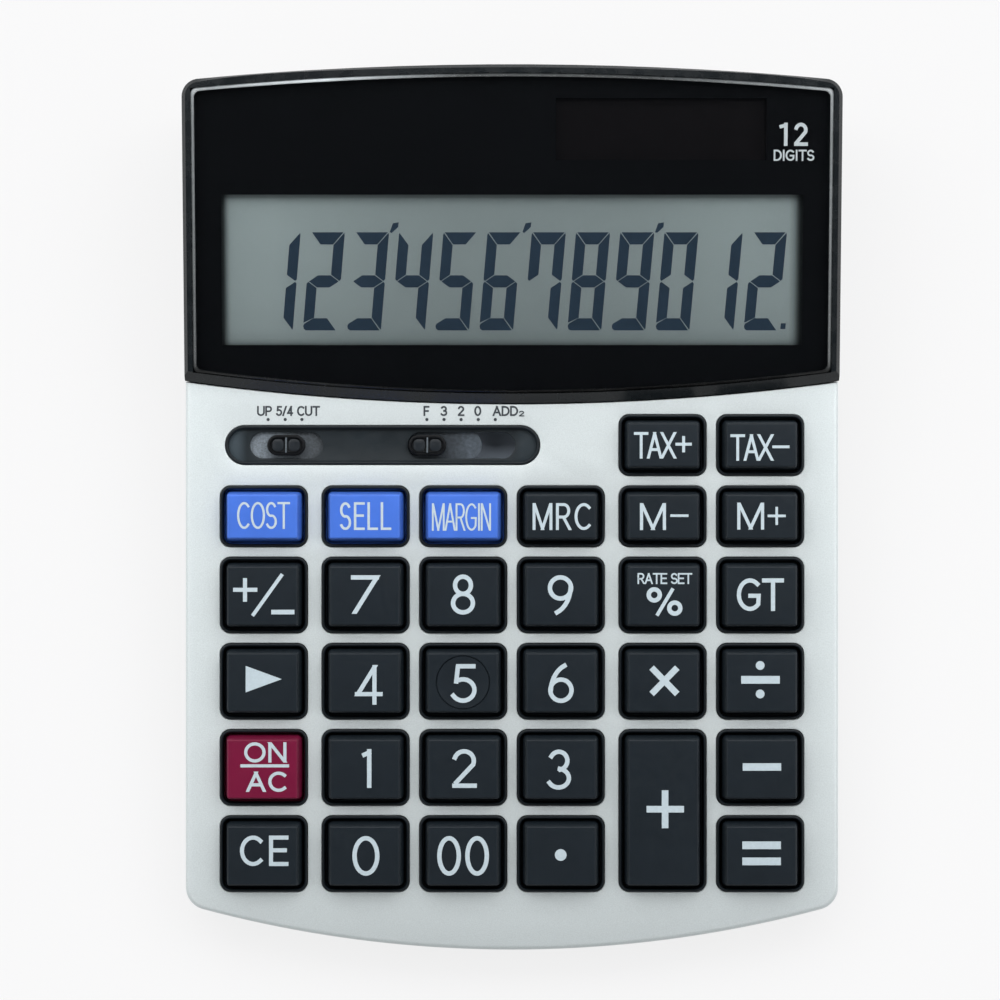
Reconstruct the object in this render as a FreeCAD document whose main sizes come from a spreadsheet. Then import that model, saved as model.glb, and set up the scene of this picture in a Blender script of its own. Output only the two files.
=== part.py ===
import FreeCAD, Part
import math
import os
import Sketcher

# A desktop calculator with twelve digits. Its shells are drawn in the plane of the keyboard, as the eye
# above the keys sees them: x to the right, v away from the user along the keyboard, n out of the keyboard.
# The placements then tilt that plane by deck_slope, and the display plane by hood_slope more.

doc = FreeCAD.newDocument("calculator")
sheet = doc.addObject("Spreadsheet::Sheet", "Sizes")

SIZES = {
    # The case
    "case_width": 149.0,
    "case_length": 200.8,
    "front_height": 13.0,
    "deck_slope": 4.0,
    "hood_slope": 5.0,
    "hood_step": 2.0,
    "bevel_run": 2.2,
    "front_bow": 274.0,
    "rear_bow": 780.0,
    "seam_bow": 550.0,
    "front_corner": 5.3,
    "rear_corner": 4.0,
    "parting_depth": 6.5,
    "shell_wall": 2.0,
    "deck_thickness": 1.5,
    "edge_break": 1.2,
    "seam_gap": 0.15,
    "seam_ledge": 1.3,
    "seam_lap": 1.2,
    # The tub under it
    "tub_inset": 0.3,
    "tub_draft": 4.0,
    "lip_height": 1.5,
    "lip_wall": 0.9,
    "lip_play": 0.1,
    # The keyboard grid
    "key_pitch": 22.25,
    "block_gap": 0.95,
    "well_width": 20.05,
    "tall_row": 17.5,
    "short_row": 14.1,
    "row_bar": 2.15,
    "front_margin": 13.3,
    "seam_margin": 2.4,
    "opening_bevel": 1.45,
    # The key frame and its rims
    "frame_thickness": 1.5,
    "frame_margin": 0.15,
    "rim_gap": 0.1,
    "rim_width": 0.65,
    "rim_rise": 0.4,
    "well_bevel": 0.95,
    "rib_thickness": 1.3,
    "rib_length": 14.0,
    # The keys
    "key_play": 0.12,
    "key_rise": 3.6,
    "key_draft": 4.0,
    "key_edge": 0.5,
    "key_wall": 1.2,
    "flange_reach": 0.8,
    "flange_thickness": 0.9,
    "flange_play": 0.1,
    "stem_side": 2.4,
    "stem_play": 0.05,
    "dish_width": 12.4,
    "dish_depth": 0.4,
    # The circuit board and the rubber mat on it
    "board_drop": 8.5,
    "board_thickness": 1.6,
    "board_width": 132.2,
    "board_front": 12.6,
    "board_rear": 126.0,
    "board_post": 4.0,
    "mat_thickness": 0.8,
    "mat_margin": 6.0,
    "mat_play": 0.3,
    "dome_side": 8.0,
    "dome_height": 2.4,
    "dome_draft": 20.0,
    "blob_radius": 7.0,
    "blob_height": 1.5,
    "blob_inset": 16.0,
    "can_radius": 2.5,
    "can_length": 7.0,
    "can_x": 30.0,
    "can_inset": 24.0,
    # The switches
    "recess_centre": -29.5,
    "recess_length": 71.9,
    "recess_width": 9.1,
    "recess_rim": 0.7,
    "recess_depth": 0.9,
    "recess_rise": 0.2,
    "recess_floor": 1.0,
    "switch_step": 3.9,
    "slot_width": 6.0,
    "slot_bevel": 1.2,
    "slot_play": 0.15,
    "rounding_centre": -51.5,
    "decimal_centre": -11.5,
    "knob_length": 8.6,
    "knob_width": 4.7,
    "knob_rise": 0.5,
    "knob_rim": 0.6,
    "pad_depth": 0.35,
    "shield_thickness": 0.5,
    "shield_width": 7.0,
    "shield_play": 0.05,
    "channel_play": 0.2,
    "rounding_shield": 12.4,
    "decimal_shield_left": 14.6,
    "decimal_shield_right": 12.4,
    "switch_stem": 3.0,
    "wiper_thickness": 0.2,
    "wiper_width": 5.0,
    "wiper_reach": 3.6,
    # The display
    "hood_rim": 2.0,
    "window_thickness": 1.8,
    "window_play": 0.1,
    "window_corner": 1.5,
    "window_edge": 0.5,
    "mask_thickness": 0.12,
    "ledge_thickness": 1.5,
    "lcd_width": 131.9,
    "lcd_height": 34.0,
    "lcd_front": 11.0,
    "lcd_border": 1.6,
    "lcd_thickness": 2.8,
    "solar_centre": 33.7,
    "solar_width": 47.6,
    "solar_height": 13.9,
    "solar_gap": 7.8,
    "solar_border": 1.2,
    "solar_thickness": 1.1,
    "mask_lap": 0.8,
    "ribbon_width": 60.0,
    "ribbon_thickness": 0.3,
    "lead_width": 1.2,
    "lead_spacing": 3.0,
    "lead_thickness": 0.6,
    "solar_lead_x": 50.0,
    # Screws and feet
    "boss_side": 6.0,
    "upper_boss_side": 5.0,
    "screw_radius": 1.25,
    "screw_head_radius": 2.05,
    "screw_head_height": 1.6,
    "screw_bite": 4.4,
    "screw_play": 0.1,
    "shelf_thickness": 1.6,
    "front_screw_side": 4.9,
    "front_screw_inset": 6.7,
    "rear_screw_side": 12.5,
    "rear_screw_inset": 5.4,
    "foot_rise": 1.2,
    "foot_width": 14.0,
    "foot_length": 8.0,
    "foot_bevel": 1.5,
    "foot_x": 56.0,
    "foot_front": 24.0,
    "foot_rear": 22.0,
    # The battery, its bay and the sliding cover
    "cell_radius": 5.8,
    "cell_height": 5.4,
    "cell_play": 0.3,
    "bay_x": -30.0,
    "bay_wall": 1.2,
    "bay_roof": 1.2,
    "bay_inset": 15.0,
    "door_width": 20.0,
    "door_length": 27.0,
    "door_thickness": 1.0,
    "door_play": 0.15,
    "door_tongue": 1.2,
    "door_lip": 4.6,
    "door_lip_wall": 1.6,
    "contact_thickness": 0.25,
    "contact_width": 3.0,
}

row = 1
for alias, number in SIZES.items():
    sheet.set(f"A{row}", alias)
    sheet.set(f"B{row}", str(number))
    sheet.setAlias(f"B{row}", alias)
    row += 1
doc.recompute()


class Dim:
    """A size: its number, and the expression of sheet cells that gives it."""

    def __init__(self, number, text):
        self.number = number
        self.text = text

    def __add__(self, other):
        other = as_dim(other)
        return Dim(self.number + other.number, f"({self.text} + {other.text})")

    def __sub__(self, other):
        other = as_dim(other)
        return Dim(self.number - other.number, f"({self.text} - {other.text})")

    def __mul__(self, other):
        other = as_dim(other)
        return Dim(self.number * other.number, f"({self.text} * {other.text})")

    def __truediv__(self, other):
        other = as_dim(other)
        return Dim(self.number / other.number, f"({self.text} / {other.text})")

    def __radd__(self, other):
        return as_dim(other) + self

    def __rsub__(self, other):
        return as_dim(other) - self

    def __rmul__(self, other):
        return as_dim(other) * self

    def __neg__(self):
        return Dim(-self.number, f"(0 - {self.text})")


def as_dim(value):
    return value if isinstance(value, Dim) else Dim(float(value), f"{float(value):.6f}")


def size(alias):
    return Dim(float(sheet.get(alias)), f"Sizes.{alias}")


def sine(angle):
    return Dim(math.sin(math.radians(angle.number)), f"sin({angle.text})")


def cosine(angle):
    return Dim(math.cos(math.radians(angle.number)), f"cos({angle.text})")


def tangent(angle):
    return Dim(math.tan(math.radians(angle.number)), f"tan({angle.text})")


def root(value):
    return Dim(math.sqrt(value.number), f"sqrt({value.text})")


def bind(feature, name, value):
    feature.setExpression(name, as_dim(value).text)


ZERO = as_dim(0)
FAR = as_dim(400)


# Sketches

def origin_plane(body, role):
    return next(feature for feature in body.Origin.OriginFeatures if feature.Role == role)


def new_body(label):
    body = doc.addObject("PartDesign::Body", label)
    body.Label = label
    return body


def new_sketch(body, lift=None, role="XY_Plane", tilt=None, shift=None, axis=1):
    """A sketch on one of the body's own planes, lifted along its normal, or moved and tilted about x."""
    sketch = body.newObject("Sketcher::SketchObject", f"{body.Label}_sketch")
    sketch.AttachmentSupport = (origin_plane(body, role), [""])
    sketch.MapMode = "FlatFace"
    if tilt is not None:
        turn = FreeCAD.Rotation(FreeCAD.Vector(axis, 0, 0), tilt.number)
        sketch.AttachmentOffset = FreeCAD.Placement(FreeCAD.Vector(), turn)
        bind(sketch, ".AttachmentOffset.Rotation.Angle", tilt)
        bind(sketch, ".AttachmentOffset.Base.y", shift)
    if lift is not None:
        bind(sketch, ".AttachmentOffset.Base.z", lift)
    return sketch


def add_bound(sketch, entries):
    """Adds constraints; an entry with a size after it is bound to that size."""
    indexes = sketch.addConstraint([entry[0] for entry in entries])
    for index, entry in zip(indexes, entries):
        if entry[1] is not None:
            sketch.setExpression(f"Constraints[{index}]", entry[1].text)


def at_point(geometry, position, x, y):
    rule = Sketcher.Constraint
    x = as_dim(x)
    y = as_dim(y)
    return [
        (rule("DistanceX", -1, 1, geometry, position, x.number), x),
        (rule("DistanceY", -1, 1, geometry, position, y.number), y),
    ]


def point(x, y):
    return FreeCAD.Vector(as_dim(x).number, as_dim(y).number, 0)


def draw_polygon(sketch, corners):
    first = sketch.GeometryCount
    count = len(corners)
    ends = [point(x, y) for x, y in corners]
    sketch.addGeometry([Part.LineSegment(ends[i], ends[(i + 1) % count]) for i in range(count)], False)
    entries = []
    for i in range(count):
        entries.append((Sketcher.Constraint("Coincident", first + i, 2, first + (i + 1) % count, 1), None))
        entries += at_point(first + i, 1, *corners[i])
    add_bound(sketch, entries)


def draw_box(sketch, x, y, width, length):
    """A rectangle about the point x, y."""
    right = as_dim(x) + width / 2
    left = as_dim(x) - width / 2
    rear = as_dim(y) + length / 2
    front = as_dim(y) - length / 2
    draw_polygon(sketch, [(left, front), (right, front), (right, rear), (left, rear)])


def draw_bevelled_box(sketch, x, y, width, length, bevel):
    """A rectangle about the point x, y with its four corners cut at 45 degrees."""
    right = as_dim(x) + width / 2
    left = as_dim(x) - width / 2
    rear = as_dim(y) + length / 2
    front = as_dim(y) - length / 2
    draw_polygon(sketch, [
        (left + bevel, front), (right - bevel, front), (right, front + bevel), (right, rear - bevel),
        (right - bevel, rear), (left + bevel, rear), (left, rear - bevel), (left, front + bevel),
    ])


def draw_stadium(sketch, x, y, length, width):
    """A slot with round ends about the point x, y."""
    rule = Sketcher.Constraint
    first = sketch.GeometryCount
    x = as_dim(x)
    y = as_dim(y)
    radius = width / 2
    right = x + length / 2 - radius
    left = x - length / 2 + radius
    half = math.pi / 2
    up = FreeCAD.Vector(0, 0, 1)
    round_right = Part.Circle(point(right, y), up, radius.number)
    round_left = Part.Circle(point(left, y), up, radius.number)
    sketch.addGeometry([
        Part.LineSegment(point(left, y - radius), point(right, y - radius)),
        Part.ArcOfCircle(round_right, -half, half),
        Part.LineSegment(point(right, y + radius), point(left, y + radius)),
        Part.ArcOfCircle(round_left, half, 3 * half),
    ], False)
    entries = [(rule("Tangent", first + i, 2, first + (i + 1) % 4, 1), None) for i in range(4)]
    entries += at_point(first + 1, 3, right, y)
    entries += at_point(first + 3, 3, left, y)
    entries.append((rule("Radius", first + 1, radius.number), radius))
    entries[3] = (rule("Coincident", first + 3, 2, first, 1), None)
    add_bound(sketch, entries)


def draw_circle(sketch, x, y, radius):
    first = sketch.GeometryCount
    up = FreeCAD.Vector(0, 0, 1)
    sketch.addGeometry([Part.Circle(point(x, y), up, as_dim(radius).number)], False)
    entries = at_point(first, 3, x, y)
    entries.append((Sketcher.Constraint("Radius", first, as_dim(radius).number), as_dim(radius)))
    add_bound(sketch, entries)


def draw_bowed_panel(sketch, half_width, front, front_bow, rear, rear_bow):
    """Two straight sides between a front edge bowed to the front and a rear edge bowed to the rear.

    front and rear are the edges' places at the middle; a bow of None is a straight edge.
    """
    rule = Sketcher.Constraint
    first = sketch.GeometryCount
    right, back, left = first + 1, first + 2, first + 3
    half = half_width.number
    up = FreeCAD.Vector(0, 0, 1)
    half_turn = math.pi / 2
    entries = []
    if front_bow is None:
        front_side = front.number
        front_edge = Part.LineSegment(point(-half, front), point(half, front))
        entries += [(rule("Horizontal", first), None)]
        entries += [(rule("DistanceY", -1, 1, first, 1, front.number), front)]
    else:
        swing = math.asin(half / front_bow.number)
        centre = front + front_bow
        front_side = centre.number - front_bow.number * math.cos(swing)
        circle = Part.Circle(point(0, centre), up, front_bow.number)
        front_edge = Part.ArcOfCircle(circle, 3 * half_turn - swing, 3 * half_turn + swing)
        entries += at_point(first, 3, ZERO, centre)
        entries.append((rule("Radius", first, front_bow.number), front_bow))
    if rear_bow is None:
        rear_side = rear.number
        rear_edge = Part.LineSegment(point(half, rear), point(-half, rear))
        entries += [(rule("Horizontal", back), None)]
        entries += [(rule("DistanceY", -1, 1, back, 1, rear.number), rear)]
    else:
        swing = math.asin(half / rear_bow.number)
        centre = rear - rear_bow
        rear_side = centre.number + rear_bow.number * math.cos(swing)
        circle = Part.Circle(point(0, centre), up, rear_bow.number)
        rear_edge = Part.ArcOfCircle(circle, half_turn - swing, half_turn + swing)
        entries += at_point(back, 3, ZERO, centre)
        entries.append((rule("Radius", back, rear_bow.number), rear_bow))
    sketch.addGeometry([
        front_edge,
        Part.LineSegment(point(half, front_side), point(half, rear_side)),
        rear_edge,
        Part.LineSegment(point(-half, rear_side), point(-half, front_side)),
    ], False)
    entries += [(rule("Coincident", first + i, 2, first + (i + 1) % 4, 1), None) for i in range(4)]
    entries += [(rule("Vertical", right), None), (rule("Vertical", left), None)]
    entries.append((rule("DistanceX", -1, 1, right, 1, half), half_width))
    entries.append((rule("DistanceX", left, 1, -1, 1, half), half_width))
    add_bound(sketch, entries)


# Features

def build_now(feature):
    """Builds one feature, so that the next one can use its faces and edges."""
    feature.recompute()
    feature.purgeTouched()


def extrude(kind, body, sketch, length, flip=False, both=False):
    feature = body.newObject(f"PartDesign::{kind}", f"{body.Label}_{kind.lower()}")
    feature.Profile = sketch
    feature.Refine = False
    if both:
        feature.SideType = "Symmetric"
    bind(feature, "Length", length)
    feature.Reversed = flip
    build_now(sketch)
    build_now(feature)
    body.Tip = feature
    return feature


def pad(body, sketch, length, flip=False, both=False):
    return extrude("Pad", body, sketch, length, flip, both)


def pocket(body, sketch, length, flip=False, both=False):
    before = body.Tip.Shape.Volume
    feature = extrude("Pocket", body, sketch, length, flip, both)
    if not feature.Shape.Volume < before - 1e-6:
        raise ValueError(f"{feature.Name} cuts nothing")
    return feature


def face_names(feature, chosen):
    return [f"Face{i + 1}" for i, face in enumerate(feature.Shape.Faces) if chosen(face.BoundBox)]


def lies_at(box, level):
    """Whether a face with this box is flat and level, at the height level."""
    return box.ZLength < 0.01 and abs(box.ZMin - level.number) < 0.01


def edge_names(feature, chosen):
    return [f"Edge{i + 1}" for i, edge in enumerate(feature.Shape.Edges) if chosen(edge)]


def dress(kind, body, base, names, value, value_name):
    if not names:
        raise ValueError(f"no edges for a {kind} on {body.Label}")
    feature = body.newObject(f"PartDesign::{kind}", f"{body.Label}_{kind.lower()}")
    feature.Base = (base, names)
    bind(feature, value_name, value)
    build_now(feature)
    body.Tip = feature
    return feature


def fillet(body, names, radius):
    return dress("Fillet", body, body.Tip, names, radius, "Radius")


def chamfer(body, names, length):
    return dress("Chamfer", body, body.Tip, names, length, "Size")


def lean(body, chosen, neutral, angle, outward=False):
    """Gives upright faces their mould draft, about the lines where they meet the neutral face."""
    base = body.Tip
    feature = body.newObject("PartDesign::Draft", f"{body.Label}_draft")
    feature.Base = (base, face_names(base, chosen))
    feature.NeutralPlane = (base, face_names(base, neutral)[:1])
    feature.Reversed = outward
    bind(feature, "Angle", angle)
    build_now(feature)
    body.Tip = feature


def upright(edge):
    """Whether an edge runs along n, or nearly so."""
    box = edge.BoundBox
    return box.ZLength > 0.5 and box.XLength < 0.2 * box.ZLength and box.YLength < 0.2 * box.ZLength


def round_corners(body, radius, chosen):
    """Fillets the upright edges whose middle passes the test."""
    names = edge_names(body.Tip, lambda edge: upright(edge) and chosen(edge.CenterOfMass))
    return fillet(body, names, radius)


# Places

slope = size("deck_slope")
hood_tilt = size("hood_slope")
parting = -size("parting_depth")
foot_rise = size("foot_rise")
case_length = size("case_length")
half_width = size("case_width") / 2
front_bow = size("front_bow")
rear_bow = size("rear_bow")
front_corner_v = front_bow - root(front_bow * front_bow - half_width * half_width)
rear_corner_v = case_length - rear_bow + root(rear_bow * rear_bow - half_width * half_width)
tub_length = case_length * cosine(slope) + size("parting_depth") * sine(slope)
deck_y = -tub_length / 2
deck_z = size("front_height")


def place(thing, x, y, z, angle):
    thing.Placement = FreeCAD.Placement(
        FreeCAD.Vector(), FreeCAD.Rotation(FreeCAD.Vector(1, 0, 0), max(angle.number, 1e-3)))
    bind(thing, ".Placement.Rotation.Angle", angle)
    bind(thing, ".Placement.Base.x", x)
    bind(thing, ".Placement.Base.y", y)
    bind(thing, ".Placement.Base.z", z)
    build_now(thing)


def deck_point(v, n):
    """The y and z of a point of the keyboard plane's frame."""
    v = as_dim(v)
    n = as_dim(n)
    return deck_y + v * cosine(slope) - n * sine(slope), deck_z + v * sine(slope) + n * cosine(slope)


def place_on_deck(thing, x=ZERO, v=ZERO, n=ZERO):
    y, z = deck_point(v, n)
    place(thing, x, y, z, slope)


# The keyboard grid: columns to the right, rows to the rear, the front row first

pitch = size("key_pitch")
block_gap = size("block_gap")
columns = [
    -pitch * 2.5 - block_gap,
    -pitch * 1.5,
    -pitch * 0.5,
    pitch * 0.5,
    pitch * 1.5 + block_gap,
    pitch * 2.5 + block_gap,
]
tall_row = size("tall_row")
short_row = size("short_row")
row_bar = size("row_bar")
row_lengths = [tall_row] * 4 + [short_row] * 2
row_centres = []
row_front = size("front_margin")
for length in row_lengths:
    row_centres.append(row_front + length / 2)
    row_front = row_front + length + row_bar
switch_v = row_centres[5]
keys_end = row_front - row_bar
seam = keys_end + size("seam_margin")
double_row = tall_row * 2 + row_bar
plus_centre = (row_centres[0] + row_centres[1]) / 2

KEY_NAMES = [
    ["key_clear_entry", "key_0", "key_00", "key_point", None, "key_equals"],
    ["key_on_clear", "key_1", "key_2", "key_3", None, "key_minus"],
    ["key_shift_right", "key_4", "key_5", "key_6", "key_times", "key_divide"],
    ["key_sign", "key_7", "key_8", "key_9", "key_rate_set", "key_grand_total"],
    ["key_cost", "key_sell", "key_margin", "key_memory_recall", "key_memory_minus", "key_memory_plus"],
    [None, None, None, None, "key_tax_plus", "key_tax_minus"],
]
keys = []
for row_index, names in enumerate(KEY_NAMES):
    for column_index, name in enumerate(names):
        if name is not None:
            keys.append((name, columns[column_index], row_centres[row_index], row_lengths[row_index]))
keys.append(("key_plus", columns[4], plus_centre, double_row))


# Blocks of like keys: first column, columns, first row, rows. The + key stands by itself.
KEY_BLOCKS = [
    (0, 1, 0, 4), (1, 3, 0, 4), (5, 1, 0, 2), (4, 2, 2, 2), (0, 1, 4, 1), (1, 3, 4, 1), (4, 2, 4, 2),
]


def repeat(body, sketch, columns_wide, rows_deep, row_pitch):
    """Repeats the body's last feature over a block of keys."""
    directions = []
    if columns_wide > 1:
        directions.append(("H_Axis", pitch, columns_wide))
    if rows_deep > 1:
        directions.append(("V_Axis", row_pitch, rows_deep))
    if not directions:
        return
    original = body.Tip
    pattern = body.newObject("PartDesign::LinearPattern", f"{body.Label}_block")
    pattern.Originals = [original]
    pattern.Refine = False
    for suffix, (axis, spacing, count) in zip(("", "2"), directions):
        setattr(pattern, f"Direction{suffix}", (sketch, [axis]))
        setattr(pattern, f"Mode{suffix}", "Spacing")
        bind(pattern, f"Offset{suffix}", spacing)
        setattr(pattern, f"Occurrences{suffix}", count)
        setattr(pattern, f"Spacings{suffix}", [-1.0] * (count - 1))
    build_now(pattern)
    body.Tip = pattern


def at_every_key(body, build):
    """build(x, v, length) adds one feature and returns its sketch; a pattern repeats it over each block."""
    for column, columns_wide, row, rows_deep in KEY_BLOCKS:
        sketch = build(columns[column], row_centres[row], row_lengths[row])
        repeat(body, sketch, columns_wide, rows_deep, row_lengths[row] + row_bar)
    build(columns[4], plus_centre, double_row)


# The silver upper case

wall = size("shell_wall")
deck_thickness = size("deck_thickness")
opening_bevel = size("opening_bevel")
well_width = size("well_width")
recess_length = size("recess_length")
recess_width = size("recess_width")
recess_x = size("recess_centre")
ledge = size("ledge_thickness")
upper_boss_side = size("upper_boss_side")
screw_hole = size("screw_radius") + size("screw_play") / 2
screw_bite = size("screw_bite")


def screw_places(group):
    """The left and right screw of the front or the rear pair, measured from the corners of the case."""
    x = half_width - size(f"{group}_screw_side")
    if group == "rear":
        v = rear_corner_v - size("rear_screw_inset")
    else:
        v = front_corner_v + size("front_screw_inset")
    return [(-x, v), (x, v)]


def add_upper_bosses(body, group, top):
    """Bosses that rise from the parting plane to a height inside the shell, with their screw holes."""
    sketch = new_sketch(body, lift=parting)
    for x, v in screw_places(group):
        draw_box(sketch, x, v, upper_boss_side, upper_boss_side)
    pad(body, sketch, top - parting)
    sketch = new_sketch(body, lift=parting)
    for x, v in screw_places(group):
        draw_circle(sketch, x, v, screw_hole)
    pocket(body, sketch, screw_bite + size("screw_play"), flip=True)


def make_upper_case():
    body = new_body("upper_case")
    sketch = new_sketch(body, lift=parting)
    draw_bowed_panel(sketch, half_width, ZERO, front_bow, case_length, None)
    pad(body, sketch, size("parting_depth"))
    round_corners(body, size("front_corner"), lambda middle: middle.y < 20)
    rim = edge_names(body.Tip, lambda edge: edge.BoundBox.ZMin > -0.01
                     and edge.BoundBox.YMin < case_length.number - 1)
    chamfer(body, rim, size("edge_break"))
    sketch = new_sketch(body, lift=parting)
    draw_bowed_panel(sketch, half_width - wall, wall, front_bow - wall, case_length + wall, None)
    pocket(body, sketch, size("parting_depth") - deck_thickness, flip=True)
    round_corners(body, size("front_corner") - wall,
                  lambda middle: middle.y < 20 and abs(middle.x) < half_width.number - wall.number + 0.1
                  and middle.y > wall.number)
    add_upper_bosses(body, "front", -deck_thickness / 2)
    sketch = new_sketch(body)
    draw_bowed_panel(sketch, half_width + wall, seam, size("seam_bow"), case_length + wall, None)
    pocket(body, sketch, FAR, both=True)

    def cut_opening(x, v, length):
        sketch = new_sketch(body)
        draw_bevelled_box(sketch, x, v, well_width, length, opening_bevel)
        pocket(body, sketch, deck_thickness)
        return sketch

    at_every_key(body, cut_opening)
    sketch = new_sketch(body)
    draw_stadium(sketch, recess_x, switch_v, recess_length, recess_width)
    pocket(body, sketch, deck_thickness)
    place_on_deck(body)


# The glossy display hood. w runs to the rear in the display plane, from the top of the front bevel.

hood_v = seam + size("bevel_run")
hood_n = size("hood_step")
hood_rim = size("hood_rim")
window_thickness = size("window_thickness")
window_play = size("window_play")
mask_thickness = size("mask_thickness")
window_depth = window_thickness + mask_thickness
panel_depth = window_depth + ledge
seam_gap = size("seam_gap")
seam_bow = size("seam_bow")
hood_length = (case_length - hood_v) / cosine(hood_tilt)
lcd_width = size("lcd_width")
lcd_height = size("lcd_height")
lcd_middle = size("lcd_front") + lcd_height / 2
solar_width = size("solar_width")
solar_height = size("solar_height")
solar_x = size("solar_centre")
solar_middle = size("lcd_front") + lcd_height + size("solar_gap") + solar_height / 2
mask_lap = size("mask_lap")


def hood_point(w, depth):
    """The v and n of a point of the display plane's frame."""
    w = as_dim(w)
    depth = as_dim(depth)
    v = hood_v + w * cosine(hood_tilt) + depth * sine(hood_tilt)
    n = hood_n + w * sine(hood_tilt) - depth * cosine(hood_tilt)
    return v, n


def hood_sketch(body, depth):
    """A sketch in the display plane, or that depth below it."""
    v, n = hood_point(ZERO, depth)
    return new_sketch(body, lift=n, tilt=hood_tilt, shift=v)


def place_on_hood(thing, x=ZERO, w=ZERO, depth=ZERO):
    y, z = deck_point(*hood_point(w, depth))
    place(thing, x, y, z, slope + hood_tilt)


def hood_top_at(v):
    return hood_n + (v - hood_v) * tangent(hood_tilt)


def cut_display_plane(body):
    sketch = new_sketch(body, role="YZ_Plane")
    start = seam - wall * 2
    end = case_length + wall
    low = hood_top_at(start)
    high = hood_top_at(end)
    draw_polygon(sketch, [(start, low), (end, high), (end, high + FAR), (start, high + FAR)])
    pocket(body, sketch, FAR, both=True)


def bevel_hood(body):
    """The wide bevel that rises from the seam, then the small one round the other three sides."""
    def along_top(edge):
        middle = edge.CenterOfMass
        return abs(middle.z - hood_top_at(as_dim(middle.y)).number) < 0.3 and edge.BoundBox.ZMin > 0

    others = edge_names(body.Tip, lambda edge: along_top(edge) and edge.BoundBox.YMax > hood_v.number + 8)
    feature = dress("Chamfer", body, body.Tip, others, size("edge_break") * 0.7, "Size")
    front = edge_names(feature, lambda edge: along_top(edge) and edge.BoundBox.YMax < hood_v.number + 8
                       and edge.BoundBox.XLength > half_width.number)
    bevel = body.newObject("PartDesign::Chamfer", "display_hood_bevel")
    bevel.Base = (feature, front)
    bevel.ChamferType = "Two distances"
    bind(bevel, "Size", size("bevel_run"))
    bind(bevel, "Size2", hood_n * 0.85)
    bevel.FlipDirection = True
    build_now(bevel)
    body.Tip = bevel


def make_display_hood():
    body = new_body("display_hood")
    sketch = new_sketch(body, lift=parting)
    draw_bowed_panel(sketch, half_width, seam + seam_gap, seam_bow, case_length, rear_bow)
    pad(body, sketch, hood_top_at(case_length + wall) - parting)
    round_corners(body, size("rear_corner"), lambda middle: middle.y > hood_v.number + 30)
    ledge_under = -deck_thickness - seam_gap / 3 - size("seam_ledge")
    sketch = new_sketch(body, lift=ledge_under)
    draw_bowed_panel(sketch, half_width - wall - seam_gap, seam - size("seam_lap"), seam_bow,
                     hood_v + wall * 5, None)
    pad(body, sketch, size("seam_ledge"))
    cut_display_plane(body)
    bevel_hood(body)
    sketch = hood_sketch(body, panel_depth)
    front_wall = wall + ledge
    lean = (hood_top_at(case_length) - parting - size("lip_height")) * tangent(hood_tilt)
    draw_bowed_panel(sketch, half_width - wall, front_wall, seam_bow - front_wall,
                     hood_length - wall - lean, rear_bow - wall)
    pocket(body, sketch, FAR)
    sketch = new_sketch(body, lift=parting)
    seam_sag = seam_bow - root(seam_bow * seam_bow - half_width * half_width)
    draw_bowed_panel(sketch, half_width - wall, seam - wall, None, hood_v + seam_sag + front_wall * 2, None)
    pocket(body, sketch, ledge_under - parting, flip=True)
    sketch = hood_sketch(body, ZERO)
    draw_bowed_panel(sketch, half_width - hood_rim, ZERO, seam_bow,
                     hood_length - hood_rim, rear_bow - hood_rim)
    pocket(body, sketch, window_depth)
    sketch = hood_sketch(body, window_depth)
    draw_box(sketch, ZERO, lcd_middle, lcd_width + mask_lap * 2, lcd_height + mask_lap * 2)
    draw_box(sketch, solar_x, solar_middle, solar_width + mask_lap * 2, solar_height + mask_lap * 2)
    pocket(body, sketch, ledge)
    rear_v = screw_places("rear")[0][1]
    add_upper_bosses(body, "rear", hood_top_at(rear_v) - window_depth - ledge / 2)
    place_on_deck(body)


def window_outline(sketch, play):
    draw_bowed_panel(sketch, half_width - hood_rim - play, play, seam_bow,
                     hood_length - hood_rim - play, rear_bow - hood_rim - play)


def make_display_window():
    body = new_body("display_window")
    sketch = new_sketch(body)
    window_outline(sketch, window_play)
    pad(body, sketch, window_thickness, flip=True)
    round_corners(body, size("window_corner"), lambda middle: True)
    chamfer(body, edge_names(body.Tip, lambda edge: edge.BoundBox.ZMin > -0.01), size("window_edge"))
    place_on_hood(body)


def make_window_mask():
    """The dark print behind the window, with its two clear fields."""
    body = new_body("window_mask")
    sketch = new_sketch(body)
    window_outline(sketch, window_play * 2)
    draw_box(sketch, ZERO, lcd_middle, lcd_width, lcd_height)
    draw_box(sketch, solar_x, solar_middle, solar_width, solar_height)
    pad(body, sketch, mask_thickness, flip=True)
    place_on_hood(body, depth=window_thickness)


def make_lcd_panel():
    """Two glass plates; the lower one is longer at the front, for its contacts."""
    body = new_body("lcd_panel")
    border = size("lcd_border")
    width = lcd_width + border * 2
    height = lcd_height + border * 2
    sketch = new_sketch(body)
    draw_box(sketch, ZERO, ZERO, width, height)
    pad(body, sketch, size("lcd_thickness") / 2, flip=True)
    sketch = new_sketch(body, lift=-size("lcd_thickness") / 2)
    draw_box(sketch, ZERO, -border / 2, width, height + border)
    pad(body, sketch, size("lcd_thickness") / 2, flip=True)
    place_on_hood(body, w=lcd_middle, depth=panel_depth)


def make_solar_cell():
    body = new_body("solar_cell")
    border = size("solar_border")
    sketch = new_sketch(body)
    draw_box(sketch, ZERO, ZERO, solar_width + border * 2, solar_height + border * 2)
    pad(body, sketch, size("solar_thickness"), flip=True)
    place_on_hood(body, x=solar_x, w=solar_middle, depth=panel_depth)


# The key frame: a black plate under the deck, whose rims stand up in the openings

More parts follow.
